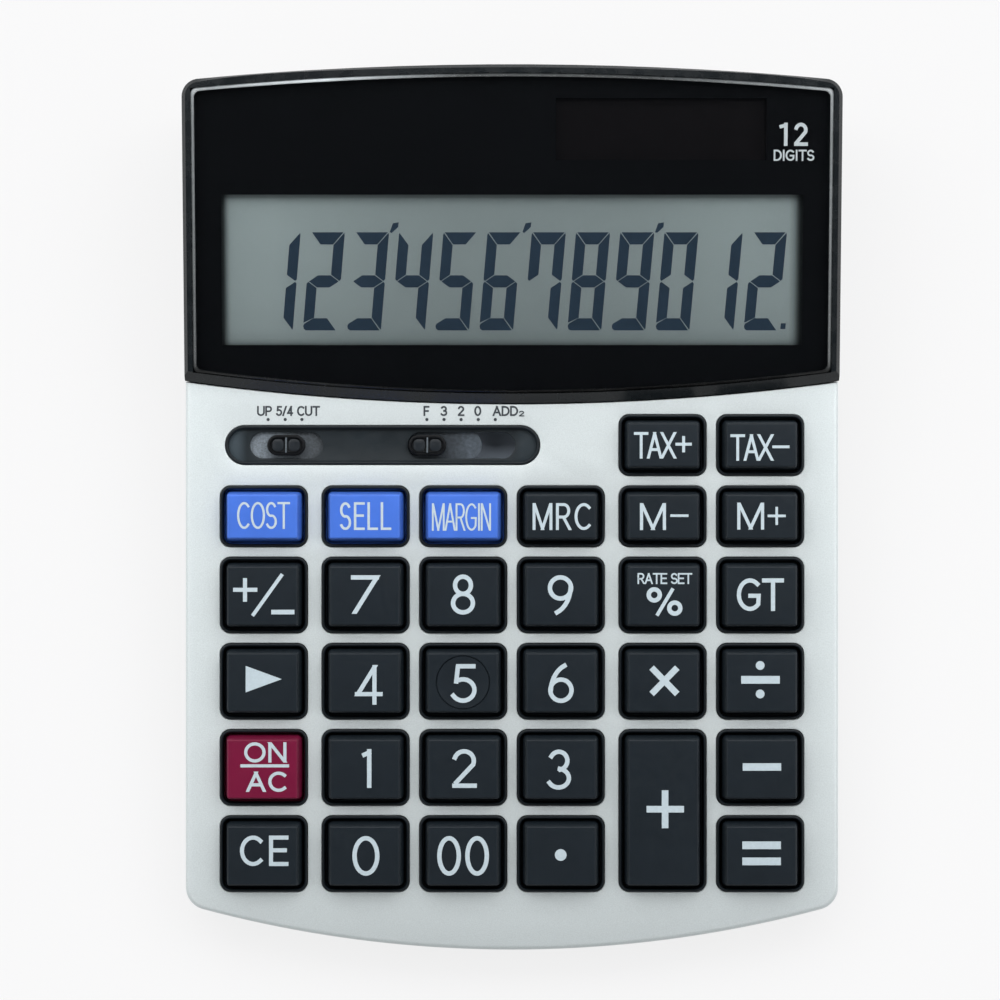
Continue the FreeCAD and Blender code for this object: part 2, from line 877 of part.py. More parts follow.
board_top = -size("board_drop")
board_under = board_top - size("board_thickness")
frame_top = -deck_thickness
frame_under = frame_top - size("frame_thickness")
rim_gap = size("rim_gap")
rim_width = size("rim_width")
well_bevel = size("well_bevel")
frame_half_width = columns[5] + well_width / 2 + size("frame_margin")
recess_floor_top = -size("recess_depth")
recess_floor_under = recess_floor_top - size("recess_floor")
shield_top = recess_floor_under - size("shield_play")
shield_under = shield_top - size("shield_thickness")
slot_width = size("slot_width")
slot_bevel = size("slot_bevel")
knob_length = size("knob_length")
step = size("switch_step")
slot_play = size("slot_play")
rounding_x = size("rounding_centre")
decimal_x = size("decimal_centre")
decimal_rest = decimal_x - step * 2
rounding_slot = knob_length + step * 2 + slot_play * 2
decimal_slot = knob_length + step * 4 + slot_play * 2
channel_play = size("channel_play")
channel_width = size("shield_width") + channel_play * 2
rib_places = [((columns[c] + columns[c + 1]) / 2, (row_centres[r] + row_centres[r + 1]) / 2)
              for c in (0, 4) for r in (1, 3)]
rib_thickness = size("rib_thickness")
rib_length = size("rib_length")


def well_opening(length):
    """The clear width and length inside a rim."""
    rim = (rim_gap + rim_width) * 2
    return well_width - rim, length - rim


def make_key_frame():
    body = new_body("key_frame")
    sketch = new_sketch(body, lift=frame_under)
    front = size("front_margin") - size("flange_reach") - size("frame_margin")
    rear = seam - size("seam_lap") - size("frame_margin")
    draw_box(sketch, ZERO, (front + rear) / 2, frame_half_width * 2, rear - front)
    pad(body, sketch, size("frame_thickness"))

    def raise_rim(x, v, length):
        sketch = new_sketch(body, lift=frame_top)
        draw_bevelled_box(sketch, x, v, well_width - rim_gap * 2, length - rim_gap * 2, opening_bevel)
        pad(body, sketch, size("rim_rise") - frame_top)
        return sketch

    def cut_well(x, v, length):
        sketch = new_sketch(body, lift=size("rim_rise"))
        draw_bevelled_box(sketch, x, v, *well_opening(length), well_bevel)
        pocket(body, sketch, size("rim_rise") - frame_under)
        return sketch

    at_every_key(body, raise_rim)
    at_every_key(body, cut_well)
    sketch = new_sketch(body, lift=frame_top)
    draw_stadium(sketch, recess_x, switch_v, recess_length - rim_gap * 2, recess_width - rim_gap * 2)
    pad(body, sketch, size("recess_rise") - frame_top)
    sketch = new_sketch(body, lift=size("recess_rise"))
    rim = (rim_gap + size("recess_rim")) * 2
    draw_stadium(sketch, recess_x, switch_v, recess_length - rim, recess_width - rim)
    pocket(body, sketch, size("recess_rise") - recess_floor_top)
    sketch = new_sketch(body, lift=recess_floor_top)
    draw_bevelled_box(sketch, rounding_x, switch_v, rounding_slot, slot_width, slot_bevel)
    draw_bevelled_box(sketch, decimal_x, switch_v, decimal_slot, slot_width, slot_bevel)
    pocket(body, sketch, recess_floor_top - frame_under)
    sketch = new_sketch(body, lift=frame_under)
    reach = size("rounding_shield") + step + channel_play
    draw_box(sketch, rounding_x, switch_v, reach * 2, channel_width)
    left = decimal_rest - size("decimal_shield_left") - channel_play
    right = decimal_rest + step * 4 + size("decimal_shield_right") + channel_play
    draw_box(sketch, (left + right) / 2, switch_v, right - left, channel_width)
    pocket(body, sketch, recess_floor_under - frame_under, flip=True)
    sketch = new_sketch(body, lift=frame_under)
    for x, v in rib_places:
        draw_box(sketch, x, v, rib_thickness, rib_length)
    pad(body, sketch, frame_under - board_top, flip=True)
    place_on_deck(body)


# The keys: drafted caps with a flange that the frame holds down, a hollow and a stem over the dome

key_rise = size("key_rise")
flange_top = frame_under - size("flange_play")
flange_under = flange_top - size("flange_thickness")
mat_top = board_top + size("mat_thickness")
dome_top = mat_top + size("dome_height")


def make_key(name, x, v, length, dished=False):
    body = new_body(name)
    well_x, well_y = well_opening(length)
    play = size("key_play") * 2
    base_x = well_x - play
    base_y = well_y - play
    loss = (key_rise - flange_top) * tangent(size("key_draft")) + size("key_wall")
    reach = size("flange_reach") * 2
    sketch = new_sketch(body, lift=flange_under)
    draw_box(sketch, ZERO, ZERO, well_x + reach, well_y + reach)
    pad(body, sketch, size("flange_thickness"))
    sketch = new_sketch(body, lift=flange_top)
    draw_bevelled_box(sketch, ZERO, ZERO, base_x, base_y, well_bevel)
    pad(body, sketch, key_rise - flange_top)
    lean(body, lambda box: box.ZMin > flange_top.number - 0.01 and box.ZLength > 1,
         lambda box: lies_at(box, flange_top), size("key_draft"))
    chamfer(body, edge_names(body.Tip, lambda edge: edge.BoundBox.ZMin > key_rise.number - 0.01),
            size("key_edge"))
    sketch = new_sketch(body, lift=flange_under)
    draw_box(sketch, ZERO, ZERO, base_x - loss * 2, base_y - loss * 2)
    pocket(body, sketch, key_rise - size("key_wall") - flange_under, flip=True)
    stem_end = dome_top + size("stem_play")
    sketch = new_sketch(body, lift=stem_end)
    draw_box(sketch, ZERO, ZERO, size("stem_side"), size("stem_side"))
    pad(body, sketch, key_rise - size("key_wall") / 2 - stem_end)
    if dished:
        add_dish(body)
    place_on_deck(body, x, v)


def add_dish(body):
    """The hollow in the middle key's top, cut by a large ball that stands over it."""
    half = size("dish_width") / 2
    depth = size("dish_depth")
    radius = (half * half + depth * depth) / (depth * 2)
    ball = body.newObject("PartDesign::SubtractiveSphere", f"{body.Label}_dish")
    ball.AttachmentSupport = (origin_plane(body, "XY_Plane"), [""])
    ball.MapMode = "FlatFace"
    ball.AttachmentOffset = FreeCAD.Placement(FreeCAD.Vector(), FreeCAD.Rotation(FreeCAD.Vector(1, 0, 0), 90))
    bind(ball, "Radius", radius)
    bind(ball, ".AttachmentOffset.Base.z", key_rise - depth + radius)
    build_now(ball)
    body.Tip = ball


# The board, the mat and what the board carries

board_width = size("board_width")
board_front = size("board_front")
board_rear = size("board_rear")
mat_play = size("mat_play")


def make_main_pcb():
    body = new_body("main_pcb")
    sketch = new_sketch(body, lift=board_under)
    draw_box(sketch, ZERO, (board_front + board_rear) / 2, board_width, board_rear - board_front)
    pad(body, sketch, size("board_thickness"))
    place_on_deck(body)


def make_key_mat():
    """A sheet of rubber with a dome under every key. It leaves the board bare under the switches."""
    body = new_body("key_mat")
    margin = size("mat_margin")
    right = columns[5] + size("dome_side") / 2 + margin / 2
    front = row_centres[0] - size("dome_side")
    rear = row_centres[5] + margin
    step_v = row_centres[4] + margin
    step_x = columns[4] - size("dome_side") - margin / 2
    sketch = new_sketch(body, lift=board_top)
    draw_polygon(sketch, [(-right, front), (right, front), (right, rear), (step_x, rear),
                          (step_x, step_v), (-right, step_v)])
    for x, v in rib_places:
        draw_box(sketch, x, v, rib_thickness + mat_play * 2, rib_length + mat_play * 2)
    pad(body, sketch, size("mat_thickness"))

    def raise_dome(x, v, length):
        sketch = new_sketch(body, lift=mat_top)
        draw_box(sketch, x, v, size("dome_side"), size("dome_side"))
        pad(body, sketch, size("dome_height"))
        return sketch

    at_every_key(body, raise_dome)
    lean(body, lambda box: box.ZMin > mat_top.number - 0.01 and box.ZLength > 1,
         lambda box: lies_at(box, mat_top), size("dome_draft"))
    place_on_deck(body)


def make_processor_blob():
    body = new_body("processor_blob")
    sketch = new_sketch(body, lift=board_under)
    draw_circle(sketch, ZERO, board_rear - size("blob_inset"), size("blob_radius"))
    pad(body, sketch, size("blob_height"), flip=True)
    place_on_deck(body)


def make_buffer_capacitor():
    body = new_body("buffer_capacitor")
    sketch = new_sketch(body, lift=size("can_x"), role="YZ_Plane")
    centre = board_under - size("can_radius") - mat_play / 6
    draw_circle(sketch, board_rear - size("can_inset"), centre, size("can_radius"))
    pad(body, sketch, size("can_length"), both=True)
    place_on_deck(body)


def strip_outline(middle, thickness):
    """The outline of a strip seen from its side, from the points of its middle line."""
    upper = [(v, n + thickness / 2) for v, n in middle]
    lower = [(v, n - thickness / 2) for v, n in reversed(middle)]
    return upper + lower


def make_lcd_ribbon():
    """The flat cable from the LCD's contact edge down to the rear edge of the board."""
    body = new_body("lcd_ribbon")
    thick = size("ribbon_thickness")
    bottom = panel_depth + size("lcd_thickness") + thick
    start = hood_point(size("lcd_front") + size("lcd_border") * 2, bottom)
    bend = hood_point(size("lcd_front") - size("lcd_border"), bottom)
    landing = board_top + thick
    sketch = new_sketch(body, role="YZ_Plane")
    inset = size("mat_margin") / 2
    middle = [start, bend, (board_rear, landing), (board_rear - inset, landing)]
    draw_polygon(sketch, strip_outline(middle, thick))
    pad(body, sketch, size("ribbon_width"), both=True)
    place_on_deck(body)


def make_solar_leads():
    """Two wires from the solar cell, under the LCD, to the rear edge of the board."""
    body = new_body("solar_leads")
    thick = size("lead_thickness")
    cell_bottom = panel_depth + size("solar_thickness") + thick
    lcd_bottom = panel_depth + size("lcd_thickness") + thick
    border = size("solar_border")
    front = solar_middle - solar_height / 2
    route = [
        hood_point(front + border * 2, cell_bottom),
        hood_point(front - border, cell_bottom),
        hood_point(size("lcd_front") + lcd_height + size("lcd_border") * 2, lcd_bottom),
        hood_point(size("lcd_front") - size("lcd_border") * 3, lcd_bottom),
        (board_rear, board_top + thick),
        (board_rear - size("mat_margin") / 2, board_top + thick),
    ]
    for side in (-1, 1):
        x = size("solar_lead_x") + size("lead_spacing") * side / 2
        sketch = new_sketch(body, lift=x, role="YZ_Plane")
        draw_polygon(sketch, strip_outline(route, thick))
        pad(body, sketch, size("lead_width"), both=True)
    place_on_deck(body)


# The switches

knob_width = size("knob_width")


def make_knob(name, x):
    body = new_body(name)
    rise = size("knob_rise")
    sketch = new_sketch(body, lift=shield_top)
    draw_stadium(sketch, ZERO, ZERO, knob_length, knob_width)
    pad(body, sketch, rise - shield_top)
    rim = size("knob_rim")
    pad_length = (knob_length - rim * 3) / 2
    sketch = new_sketch(body, lift=rise)
    for side in (-1, 1):
        draw_bevelled_box(sketch, (pad_length + rim) * side / 2, ZERO, pad_length, knob_width - rim * 2, rim)
    pocket(body, sketch, size("pad_depth"))
    stem = size("switch_stem")
    sketch = new_sketch(body, lift=shield_top)
    draw_box(sketch, ZERO, ZERO, stem, stem)
    pad(body, sketch, shield_top - wiper_top, flip=True)
    place_on_deck(body, x, switch_v)


wiper_top = board_top + size("shield_play") + size("wiper_thickness") * 2


def make_shield(name, x, left, right):
    """The plate that rides under the slot with the knob and keeps dust out."""
    body = new_body(name)
    sketch = new_sketch(body, lift=shield_under)
    draw_stadium(sketch, (right - left) / 2, ZERO, right + left, size("shield_width"))
    hole = size("switch_stem") + size("shield_play") * 2
    draw_box(sketch, ZERO, ZERO, hole, hole)
    pad(body, sketch, size("shield_thickness"))
    place_on_deck(body, x, switch_v)


def make_wiper(name, x):
    """A bowed strip of metal under the stem, whose ends slide on the board."""
    body = new_body(name)
    thick = size("wiper_thickness")
    flat = size("switch_stem") / 2
    reach = size("wiper_reach")
    low = wiper_top - thick
    sketch = new_sketch(body, role="XZ_Plane")
    draw_polygon(sketch, [(-flat, wiper_top), (-reach, low), (-reach, low - thick), (-flat, low),
                          (flat, low), (reach, low - thick), (reach, low), (flat, wiper_top)])
    pad(body, sketch, size("wiper_width"), both=True)
    place_on_deck(body, x, switch_v)


# The tub. A sketch on the base lies level, in the table's own x and y.

base_z = foot_rise
tub_inset = size("tub_inset")
bay_x = size("bay_x")
door_width = size("door_width")
door_play = size("door_play")
door_thickness = size("door_thickness")
tub_rear_y = deck_point(case_length - tub_inset, parting)[0]
bay_y = tub_rear_y - size("bay_inset")
door_front_y = tub_rear_y - size("door_length")
groove_top_z = base_z + door_thickness * 2
cell_bottom_z = groove_top_z + door_play
cell_top_z = cell_bottom_z + size("cell_height")
roof_under_z = cell_top_z + size("contact_thickness") * 2
roof_top_z = roof_under_z + size("bay_roof")


def base_sketch(body, z):
    """A level sketch at height z, in a body that is drawn in the keyboard's frame."""
    rise = z - deck_z
    shift = rise * sine(slope) - deck_y * cosine(slope)
    lift = rise * cosine(slope) + deck_y * sine(slope)
    return new_sketch(body, lift=lift, tilt=slope, shift=shift, axis=-1)


def base_at(v):
    """The height n of the base plane."""
    return (base_z - deck_z - v * sine(slope)) / cosine(slope)


def cut_base(body, height=ZERO):
    """Cuts away what is below the base plane, or below a level plane that far above it."""
    sketch = new_sketch(body, role="YZ_Plane")
    start = -wall * 5
    end = case_length + wall * 5
    low = base_at(start) + height / cosine(slope)
    high = base_at(end) + height / cosine(slope)
    draw_polygon(sketch, [(start, low), (start, low - FAR), (end, high - FAR), (end, high)])
    pocket(body, sketch, FAR, both=True)


def lies_on_base(box):
    """Whether an edge with this box lies in the base plane."""
    high = base_at(as_dim(box.YMin)).number
    low = base_at(as_dim(box.YMax)).number
    return abs(box.ZMax - high) < 0.01 and abs(box.ZMin - low) < 0.01


def foot_places():
    front = deck_y + size("foot_front")
    rear = tub_rear_y - size("foot_rear")
    return [(size("foot_x") * side, y) for side in (-1, 1) for y in (front, rear)]


def add_lip(body):
    """The tongue round the tub's edge that centres the upper shells. It stops short of the front corners."""
    height = size("lip_height")
    outer = wall + size("lip_play")
    thick = size("lip_wall")
    sketch = new_sketch(body, lift=parting - height)
    for inset in (outer, outer + thick):
        draw_bowed_panel(sketch, half_width - inset, inset, front_bow - inset,
                         case_length - inset, rear_bow - inset)
    pad(body, sketch, height * 2)
    sketch = new_sketch(body, lift=parting)
    corner = size("front_corner")
    for x, v in screw_places("front"):
        draw_box(sketch, x, v - corner / 2, upper_boss_side + thick * 2, upper_boss_side + thick * 2 + corner)
    pocket(body, sketch, height, flip=True)


def add_tub_bosses(body):
    sketch = new_sketch(body, lift=parting)
    places = screw_places("front") + screw_places("rear")
    for x, v in places:
        draw_box(sketch, x, v, size("boss_side"), size("boss_side"))
    pad(body, sketch, -base_at(case_length) + parting, flip=True)
    sketch = new_sketch(body, lift=board_under)
    for x, v in rib_places:
        draw_box(sketch, x, v, size("board_post"), size("board_post"))
    pad(body, sketch, -base_at(board_rear) + board_under, flip=True)
    cut_base(body)
    sketch = new_sketch(body, lift=parting - size("shelf_thickness"))
    for x, v in places:
        draw_circle(sketch, x, v, size("screw_head_radius") + size("screw_play"))
    pocket(body, sketch, FAR)
    sketch = new_sketch(body, lift=parting)
    for x, v in places:
        draw_circle(sketch, x, v, screw_hole)
    pocket(body, sketch, size("shelf_thickness"))


def add_battery_bay(body):
    """A block over the cover's opening, with grooves for the cover and a bore for the cell."""
    bay_wall = size("bay_wall")
    tongue = size("door_tongue") + door_play
    front = door_front_y - bay_wall
    rear = tub_rear_y - wall / 2
    width = door_width + tongue * 2 + bay_wall * 2
    sketch = base_sketch(body, base_z)
    draw_box(sketch, bay_x, (front + rear) / 2, width, rear - front)
    pad(body, sketch, roof_top_z - base_z)
    bore_bottom_z = cell_bottom_z + size("cell_play")
    bore_radius = size("cell_radius") + size("cell_play")
    far_rear = tub_rear_y + wall
    sketch = base_sketch(body, base_z)
    draw_box(sketch, bay_x, (door_front_y + far_rear) / 2, door_width, far_rear - door_front_y)
    pocket(body, sketch, bore_bottom_z - base_z, flip=True)
    sketch = base_sketch(body, base_z + door_thickness)
    draw_box(sketch, bay_x, (door_front_y + far_rear) / 2, door_width + tongue * 2, far_rear - door_front_y)
    pocket(body, sketch, door_thickness, flip=True)
    sketch = base_sketch(body, bore_bottom_z)
    draw_circle(sketch, bay_x, bay_y, bore_radius)
    pocket(body, sketch, roof_under_z - bore_bottom_z, flip=True)
    sketch = base_sketch(body, base_z)
    lip = size("door_lip_wall") + door_play
    draw_box(sketch, bay_x, far_rear - (wall + lip) / 2, door_width, wall + lip)
    pocket(body, sketch, size("door_lip") + door_play, flip=True)
    slot = size("contact_thickness") * 4
    sketch = base_sketch(body, bore_bottom_z)
    draw_box(sketch, bay_x, bay_y - bore_radius, size("contact_width") + door_play * 2, slot * 2)
    draw_box(sketch, bay_x, bay_y + bore_radius, size("contact_width") + door_play * 2, slot * 2)
    pocket(body, sketch, roof_top_z - bore_bottom_z, flip=True)


def draw_tub(body, inset, floor):
    """A drafted block with the tub's outline, that far inside the case's edges and above the base plane."""
    sketch = new_sketch(body, lift=parting)
    draw_bowed_panel(sketch, half_width - inset, inset, front_bow - inset,
                     case_length - inset, rear_bow - inset)
    pad(body, sketch, parting - base_at(case_length + wall), flip=True)
    round_corners(body, size("front_corner") - inset, lambda middle: middle.y < case_length.number / 2)
    round_corners(body, size("rear_corner") - inset, lambda middle: middle.y > case_length.number / 2)
    lean(body, lambda box: box.ZLength > 1, lambda box: lies_at(box, parting),
         size("tub_draft"), outward=True)
    cut_base(body, floor)


def make_lower_case():
    """A tub with broken lower edges, hollowed out by a smaller block that leaves its wall and its floor."""
    body = new_body("lower_case")
    draw_tub(body, tub_inset, ZERO)
    chamfer(body, edge_names(body.Tip, lambda edge: lies_on_base(edge.BoundBox)), size("edge_break"))
    space = new_body("tub_space")
    draw_tub(space, tub_inset + wall, wall)
    build_now(space)
    hollow = body.newObject("PartDesign::Boolean", "lower_case_hollow")
    hollow.Type = "Cut"
    hollow.addObjects([space])
    build_now(hollow)
    body.Tip = hollow
    add_lip(body)
    add_tub_bosses(body)
    add_battery_bay(body)
    place_on_deck(body)


# Battery, feet and screws

def make_battery_cover():
    body = new_body("battery_cover")
    length = size("door_length") - door_play
    lip = size("door_lip_wall")
    sketch = new_sketch(body)
    draw_box(sketch, ZERO, -length / 2, door_width - door_play * 2, length)
    pad(body, sketch, door_thickness + door_play / 3)
    tongue = size("door_tongue")
    sketch = new_sketch(body, lift=door_thickness + door_play / 3)
    draw_box(sketch, ZERO, -length / 2, door_width - door_play * 2 + tongue * 2, length)
    pad(body, sketch, door_thickness - door_play * 2 / 3)
    sketch = new_sketch(body)
    draw_box(sketch, ZERO, -lip / 2, door_width - door_play * 2, lip)
    pad(body, sketch, size("door_lip"))
    place(body, bay_x, tub_rear_y, base_z, ZERO)


def make_battery_cell():
    body = new_body("battery_cell")
    sketch = new_sketch(body)
    draw_circle(sketch, ZERO, ZERO, size("cell_radius"))
    pad(body, sketch, size("cell_height"))
    place(body, bay_x, bay_y, cell_bottom_z, ZERO)


def make_contacts():
    """The spring strips: one on the side of the cell, one above it. Both come up through the roof."""
    thick = size("contact_thickness")
    radius = size("cell_radius")
    bore_radius = radius + size("cell_play")
    rise = roof_top_z - cell_bottom_z
    inset = size("cell_play") / 6
    tab = size("contact_width")
    body = new_body("battery_contact_plus")
    sketch = new_sketch(body, role="YZ_Plane")
    outer = -radius - inset - thick
    draw_polygon(sketch, [
        (outer + thick, thick * 4), (outer + thick, rise + thick + inset),
        (outer - tab, rise + thick + inset), (outer - tab, rise + inset),
        (outer, rise + inset), (outer, thick * 4),
    ])
    pad(body, sketch, size("contact_width"), both=True)
    place(body, bay_x, bay_y, cell_bottom_z, ZERO)
    body = new_body("battery_contact_minus")
    low = size("cell_height") + inset
    outer = bore_radius
    sketch = new_sketch(body, role="YZ_Plane")
    draw_polygon(sketch, [
        (-radius / 2, low), (outer, low), (outer, rise + inset), (outer + tab, rise + inset),
        (outer + tab, rise + thick + inset), (outer - thick, rise + thick + inset),
        (outer - thick, low + thick),
        (-radius / 2, low + thick),
    ])
    pad(body, sketch, size("contact_width"), both=True)
    place(body, bay_x, bay_y, cell_bottom_z, ZERO)


def make_battery_leads():
    """A wire from each contact's tab to the board's underside."""
    body = new_body("battery_leads")
    thick = size("lead_thickness")
    side_gap = size("contact_width") / 2 - size("lead_width") / 2
    bore_radius = size("cell_radius") + size("cell_play")
    z = roof_top_z + size("contact_thickness") + thick
    board_y, board_z = deck_point(board_rear - size("mat_margin"), board_under - thick)
    for side, start in ((-1, bay_y - size("cell_radius") - thick * 2), (1, bay_y + bore_radius + thick)):
        sketch = new_sketch(body, lift=side_gap * side, role="YZ_Plane")
        draw_polygon(sketch, strip_outline([(board_y, board_z), (start, z)], thick))
        pad(body, sketch, size("lead_width"), both=True)
    place(body, bay_x, ZERO, ZERO, ZERO)


def make_rubber_feet():
    body = new_body("rubber_feet")
    sketch = new_sketch(body)
    for x, y in foot_places():
        draw_bevelled_box(sketch, x, y, size("foot_width"), size("foot_length"), size("foot_bevel"))
    pad(body, sketch, foot_rise)
    place(body, ZERO, ZERO, ZERO, ZERO)


def make_case_screws():
    body = new_body("case_screws")
    places = screw_places("front") + screw_places("rear")
    seat = parting - size("shelf_thickness")
    sketch = new_sketch(body, lift=seat)
    for x, v in places:
        draw_circle(sketch, x, v, size("screw_head_radius"))
    pad(body, sketch, size("screw_head_height"), flip=True)
    sketch = new_sketch(body, lift=seat)
    for x, v in places:
        draw_circle(sketch, x, v, size("screw_radius"))
    pad(body, sketch, parting + screw_bite - seat)
    place_on_deck(body)


make_lower_case()
make_upper_case()
make_display_hood()
make_display_window()
make_window_mask()
make_lcd_panel()
make_lcd_ribbon()
make_solar_cell()
make_solar_leads()
make_key_frame()
for name, x, v, length in keys:
    make_key(name, x, v, length, dished=name == "key_5")
make_key_mat()
make_main_pcb()
make_processor_blob()
make_buffer_capacitor()
make_knob("rounding_knob", rounding_x)
make_knob("decimal_knob", decimal_rest)
make_shield("rounding_shield", rounding_x, size("rounding_shield"), size("rounding_shield"))
make_shield("decimal_shield", decimal_rest, size("decimal_shield_left"), size("decimal_shield_right"))
make_wiper("rounding_wiper", rounding_x)
make_wiper("decimal_wiper", decimal_rest)
make_battery_cover()
make_battery_cell()
make_contacts()
make_battery_leads()
make_rubber_feet()
make_case_screws()

# Checks before anything is written

for thing in doc.Objects:
    if "Invalid" in thing.State or "Error" in thing.State:
        raise ValueError(f"{thing.Name} failed: {thing.State}")
tools = [tool for cut in doc.findObjects("PartDesign::Boolean") for tool in cut.Group]
bodies = [body for body in doc.findObjects("PartDesign::Body") if body not in tools]
for body in bodies:
    if body.Shape.isNull() or not body.Shape.isValid():
        raise ValueError(f"{body.Label} has no valid shape")

os.makedirs("parts", exist_ok=True)
for body in bodies:
    body.Shape.exportStep(f"parts/{body.Label}.step")
    print(body.Label, len(body.Shape.Solids))
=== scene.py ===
import math

import bmesh
import bpy
from mathutils import Matrix, Vector
from mathutils.geometry import delaunay_2d_cdt


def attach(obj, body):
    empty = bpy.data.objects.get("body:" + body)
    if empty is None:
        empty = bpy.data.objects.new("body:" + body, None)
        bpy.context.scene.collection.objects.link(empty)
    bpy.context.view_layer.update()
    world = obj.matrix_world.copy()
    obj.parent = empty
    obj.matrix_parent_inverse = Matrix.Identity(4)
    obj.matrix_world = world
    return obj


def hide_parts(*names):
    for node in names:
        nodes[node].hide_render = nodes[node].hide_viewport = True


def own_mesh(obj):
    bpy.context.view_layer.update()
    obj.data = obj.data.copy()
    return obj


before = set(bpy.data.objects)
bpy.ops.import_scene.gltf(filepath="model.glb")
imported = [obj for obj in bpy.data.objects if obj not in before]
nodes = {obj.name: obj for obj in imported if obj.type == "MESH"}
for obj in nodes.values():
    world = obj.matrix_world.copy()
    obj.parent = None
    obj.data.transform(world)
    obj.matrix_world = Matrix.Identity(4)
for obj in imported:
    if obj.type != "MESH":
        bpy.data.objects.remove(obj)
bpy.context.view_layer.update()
scene = bpy.context.scene
scene.view_settings.view_transform = "Standard"

MM = 0.001

# The planes of the keyboard and of the display, in millimetres: x to the right, v to the rear, n outwards

DECK_SLOPE = math.radians(4)
HOOD_SLOPE = math.radians(5)
CASE_WIDTH = 149.0
CASE_LENGTH = 200.8
FRONT_BOW = 274.0
REAR_BOW = 780.0
SEAM_BOW = 550.0
SEAM_INSET = 0.2
FRONT_CORNER = 5.3
PARTING = -6.5
FRONT_HEIGHT = 13.0
DECK_Y = -(CASE_LENGTH * math.cos(DECK_SLOPE) - PARTING * math.sin(DECK_SLOPE)) / 2
HOOD_V = 126.85
HOOD_N = 2.0
BOARD_TOP = -8.5

to_metres = Matrix.Scale(MM, 4)
deck_plane = to_metres @ Matrix.Translation((0, DECK_Y, FRONT_HEIGHT)) @ Matrix.Rotation(DECK_SLOPE, 4, "X")
hood_plane = deck_plane @ Matrix.Translation((0, HOOD_V, HOOD_N)) @ Matrix.Rotation(HOOD_SLOPE, 4, "X")

# The grid of the keys: the middles of its six columns and of its six rows

PITCH = 22.25
BLOCK_GAP = 0.95
COLUMNS = [-PITCH * 2.5 - BLOCK_GAP, -PITCH * 1.5, -PITCH * 0.5, PITCH * 0.5,
           PITCH * 1.5 + BLOCK_GAP, PITCH * 2.5 + BLOCK_GAP]
WELL = 20.05
TALL = 17.5
SHORT = 14.1
ROW_BAR = 2.15
FRONT_MARGIN = 13.3
SEAM_MARGIN = 2.4
ROW_LENGTHS = [TALL] * 4 + [SHORT] * 2
ROWS = []
row_front = FRONT_MARGIN
for length in ROW_LENGTHS:
    ROWS.append(row_front + length / 2)
    row_front += length + ROW_BAR
SWITCH_V = ROWS[5]
SEAM = row_front - ROW_BAR + SEAM_MARGIN


# Outlines: a function of how far the outline is drawn in, that gives its points

def rounded_box(x, v, width, length, radius, steps=8):
    def outline(inset):
        half_x = width / 2 - inset
        half_v = length / 2 - inset
        r = max(radius - inset, 0.05)
        points = []
        for sx, sv, start in ((1, 1, 0), (-1, 1, 90), (-1, -1, 180), (1, -1, 270)):
            for i in range(steps + 1):
                a = math.radians(start + 90 * i / steps)
                points.append((x + sx * (half_x - r) + r * math.cos(a),
                               v + sv * (half_v - r) + r * math.sin(a)))
        return points
    return outline


def stadium(x, v, length, width, steps=24):
    return rounded_box(x, v, length, width, width / 2, steps // 2)


def arc_points(x, v, radius, start, end, steps):
    angles = [math.radians(start + (end - start) * i / steps) for i in range(steps + 1)]
    return [(x + radius * math.cos(a), v + radius * math.sin(a)) for a in angles]


def shell_outline(half_width, front_bow, corner, rear_v, rear_bow, steps=40):
    """The upper case from above: a bowed front, straight sides, and a rear edge that follows the seam."""
    def outline(inset):
        half = half_width - inset
        r = corner - inset
        bow = front_bow - inset
        centre = inset + bow
        reach = bow - r
        corner_x = half - r
        corner_v = centre - math.sqrt(reach * reach - corner_x * corner_x)
        swing = math.degrees(math.asin(corner_x / reach))
        seam_centre = rear_v - min(inset, SEAM_INSET) + rear_bow
        seam_swing = math.degrees(math.asin(half / rear_bow))
        points = arc_points(0, centre, bow, 270 - swing, 270 + swing, steps)[:-1]
        points += arc_points(corner_x, corner_v, r, 270 + swing, 360, 12)
        points += arc_points(0, seam_centre, rear_bow, 270 + seam_swing, 270 - seam_swing, steps)
        points += arc_points(-corner_x, corner_v, r, 180, 270 - swing, 12)[:-1]
        return points
    return outline


def rounding(inset, n, radius, steps=5):
    """Profile points of a rounded upper edge, from the side up to the top face."""
    points = []
    for i in range(steps + 1):
        a = math.pi / 2 * i / steps
        points.append((inset + radius * (1 - math.cos(a)), n - radius * (1 - math.sin(a))))
    return points


# Meshes

def ring(mesh, points, n):
    return [mesh.verts.new((x, v, n)) for x, v in points]


def skin(mesh, rings, closed=False):
    pairs = list(zip(rings, rings[1:]))
    if closed:
        pairs.append((rings[-1], rings[0]))
    for lower, upper in pairs:
        count = len(lower)
        for i in range(count):
            j = (i + 1) % count
            mesh.faces.new((lower[i], lower[j], upper[j], upper[i]))


def loft(mesh, outline, profile, caps=True):
    """A solid whose outline is drawn in by each inset at each height."""
    rings = [ring(mesh, outline(inset), n) for inset, n in profile]
    skin(mesh, rings)
    if caps:
        mesh.faces.new(list(reversed(rings[0])))
        mesh.faces.new(rings[-1])
    return rings


def tube(mesh, outline, profile):
    """A closed ring of solid, such as a rim."""
    skin(mesh, [ring(mesh, outline(inset), n) for inset, n in profile], closed=True)


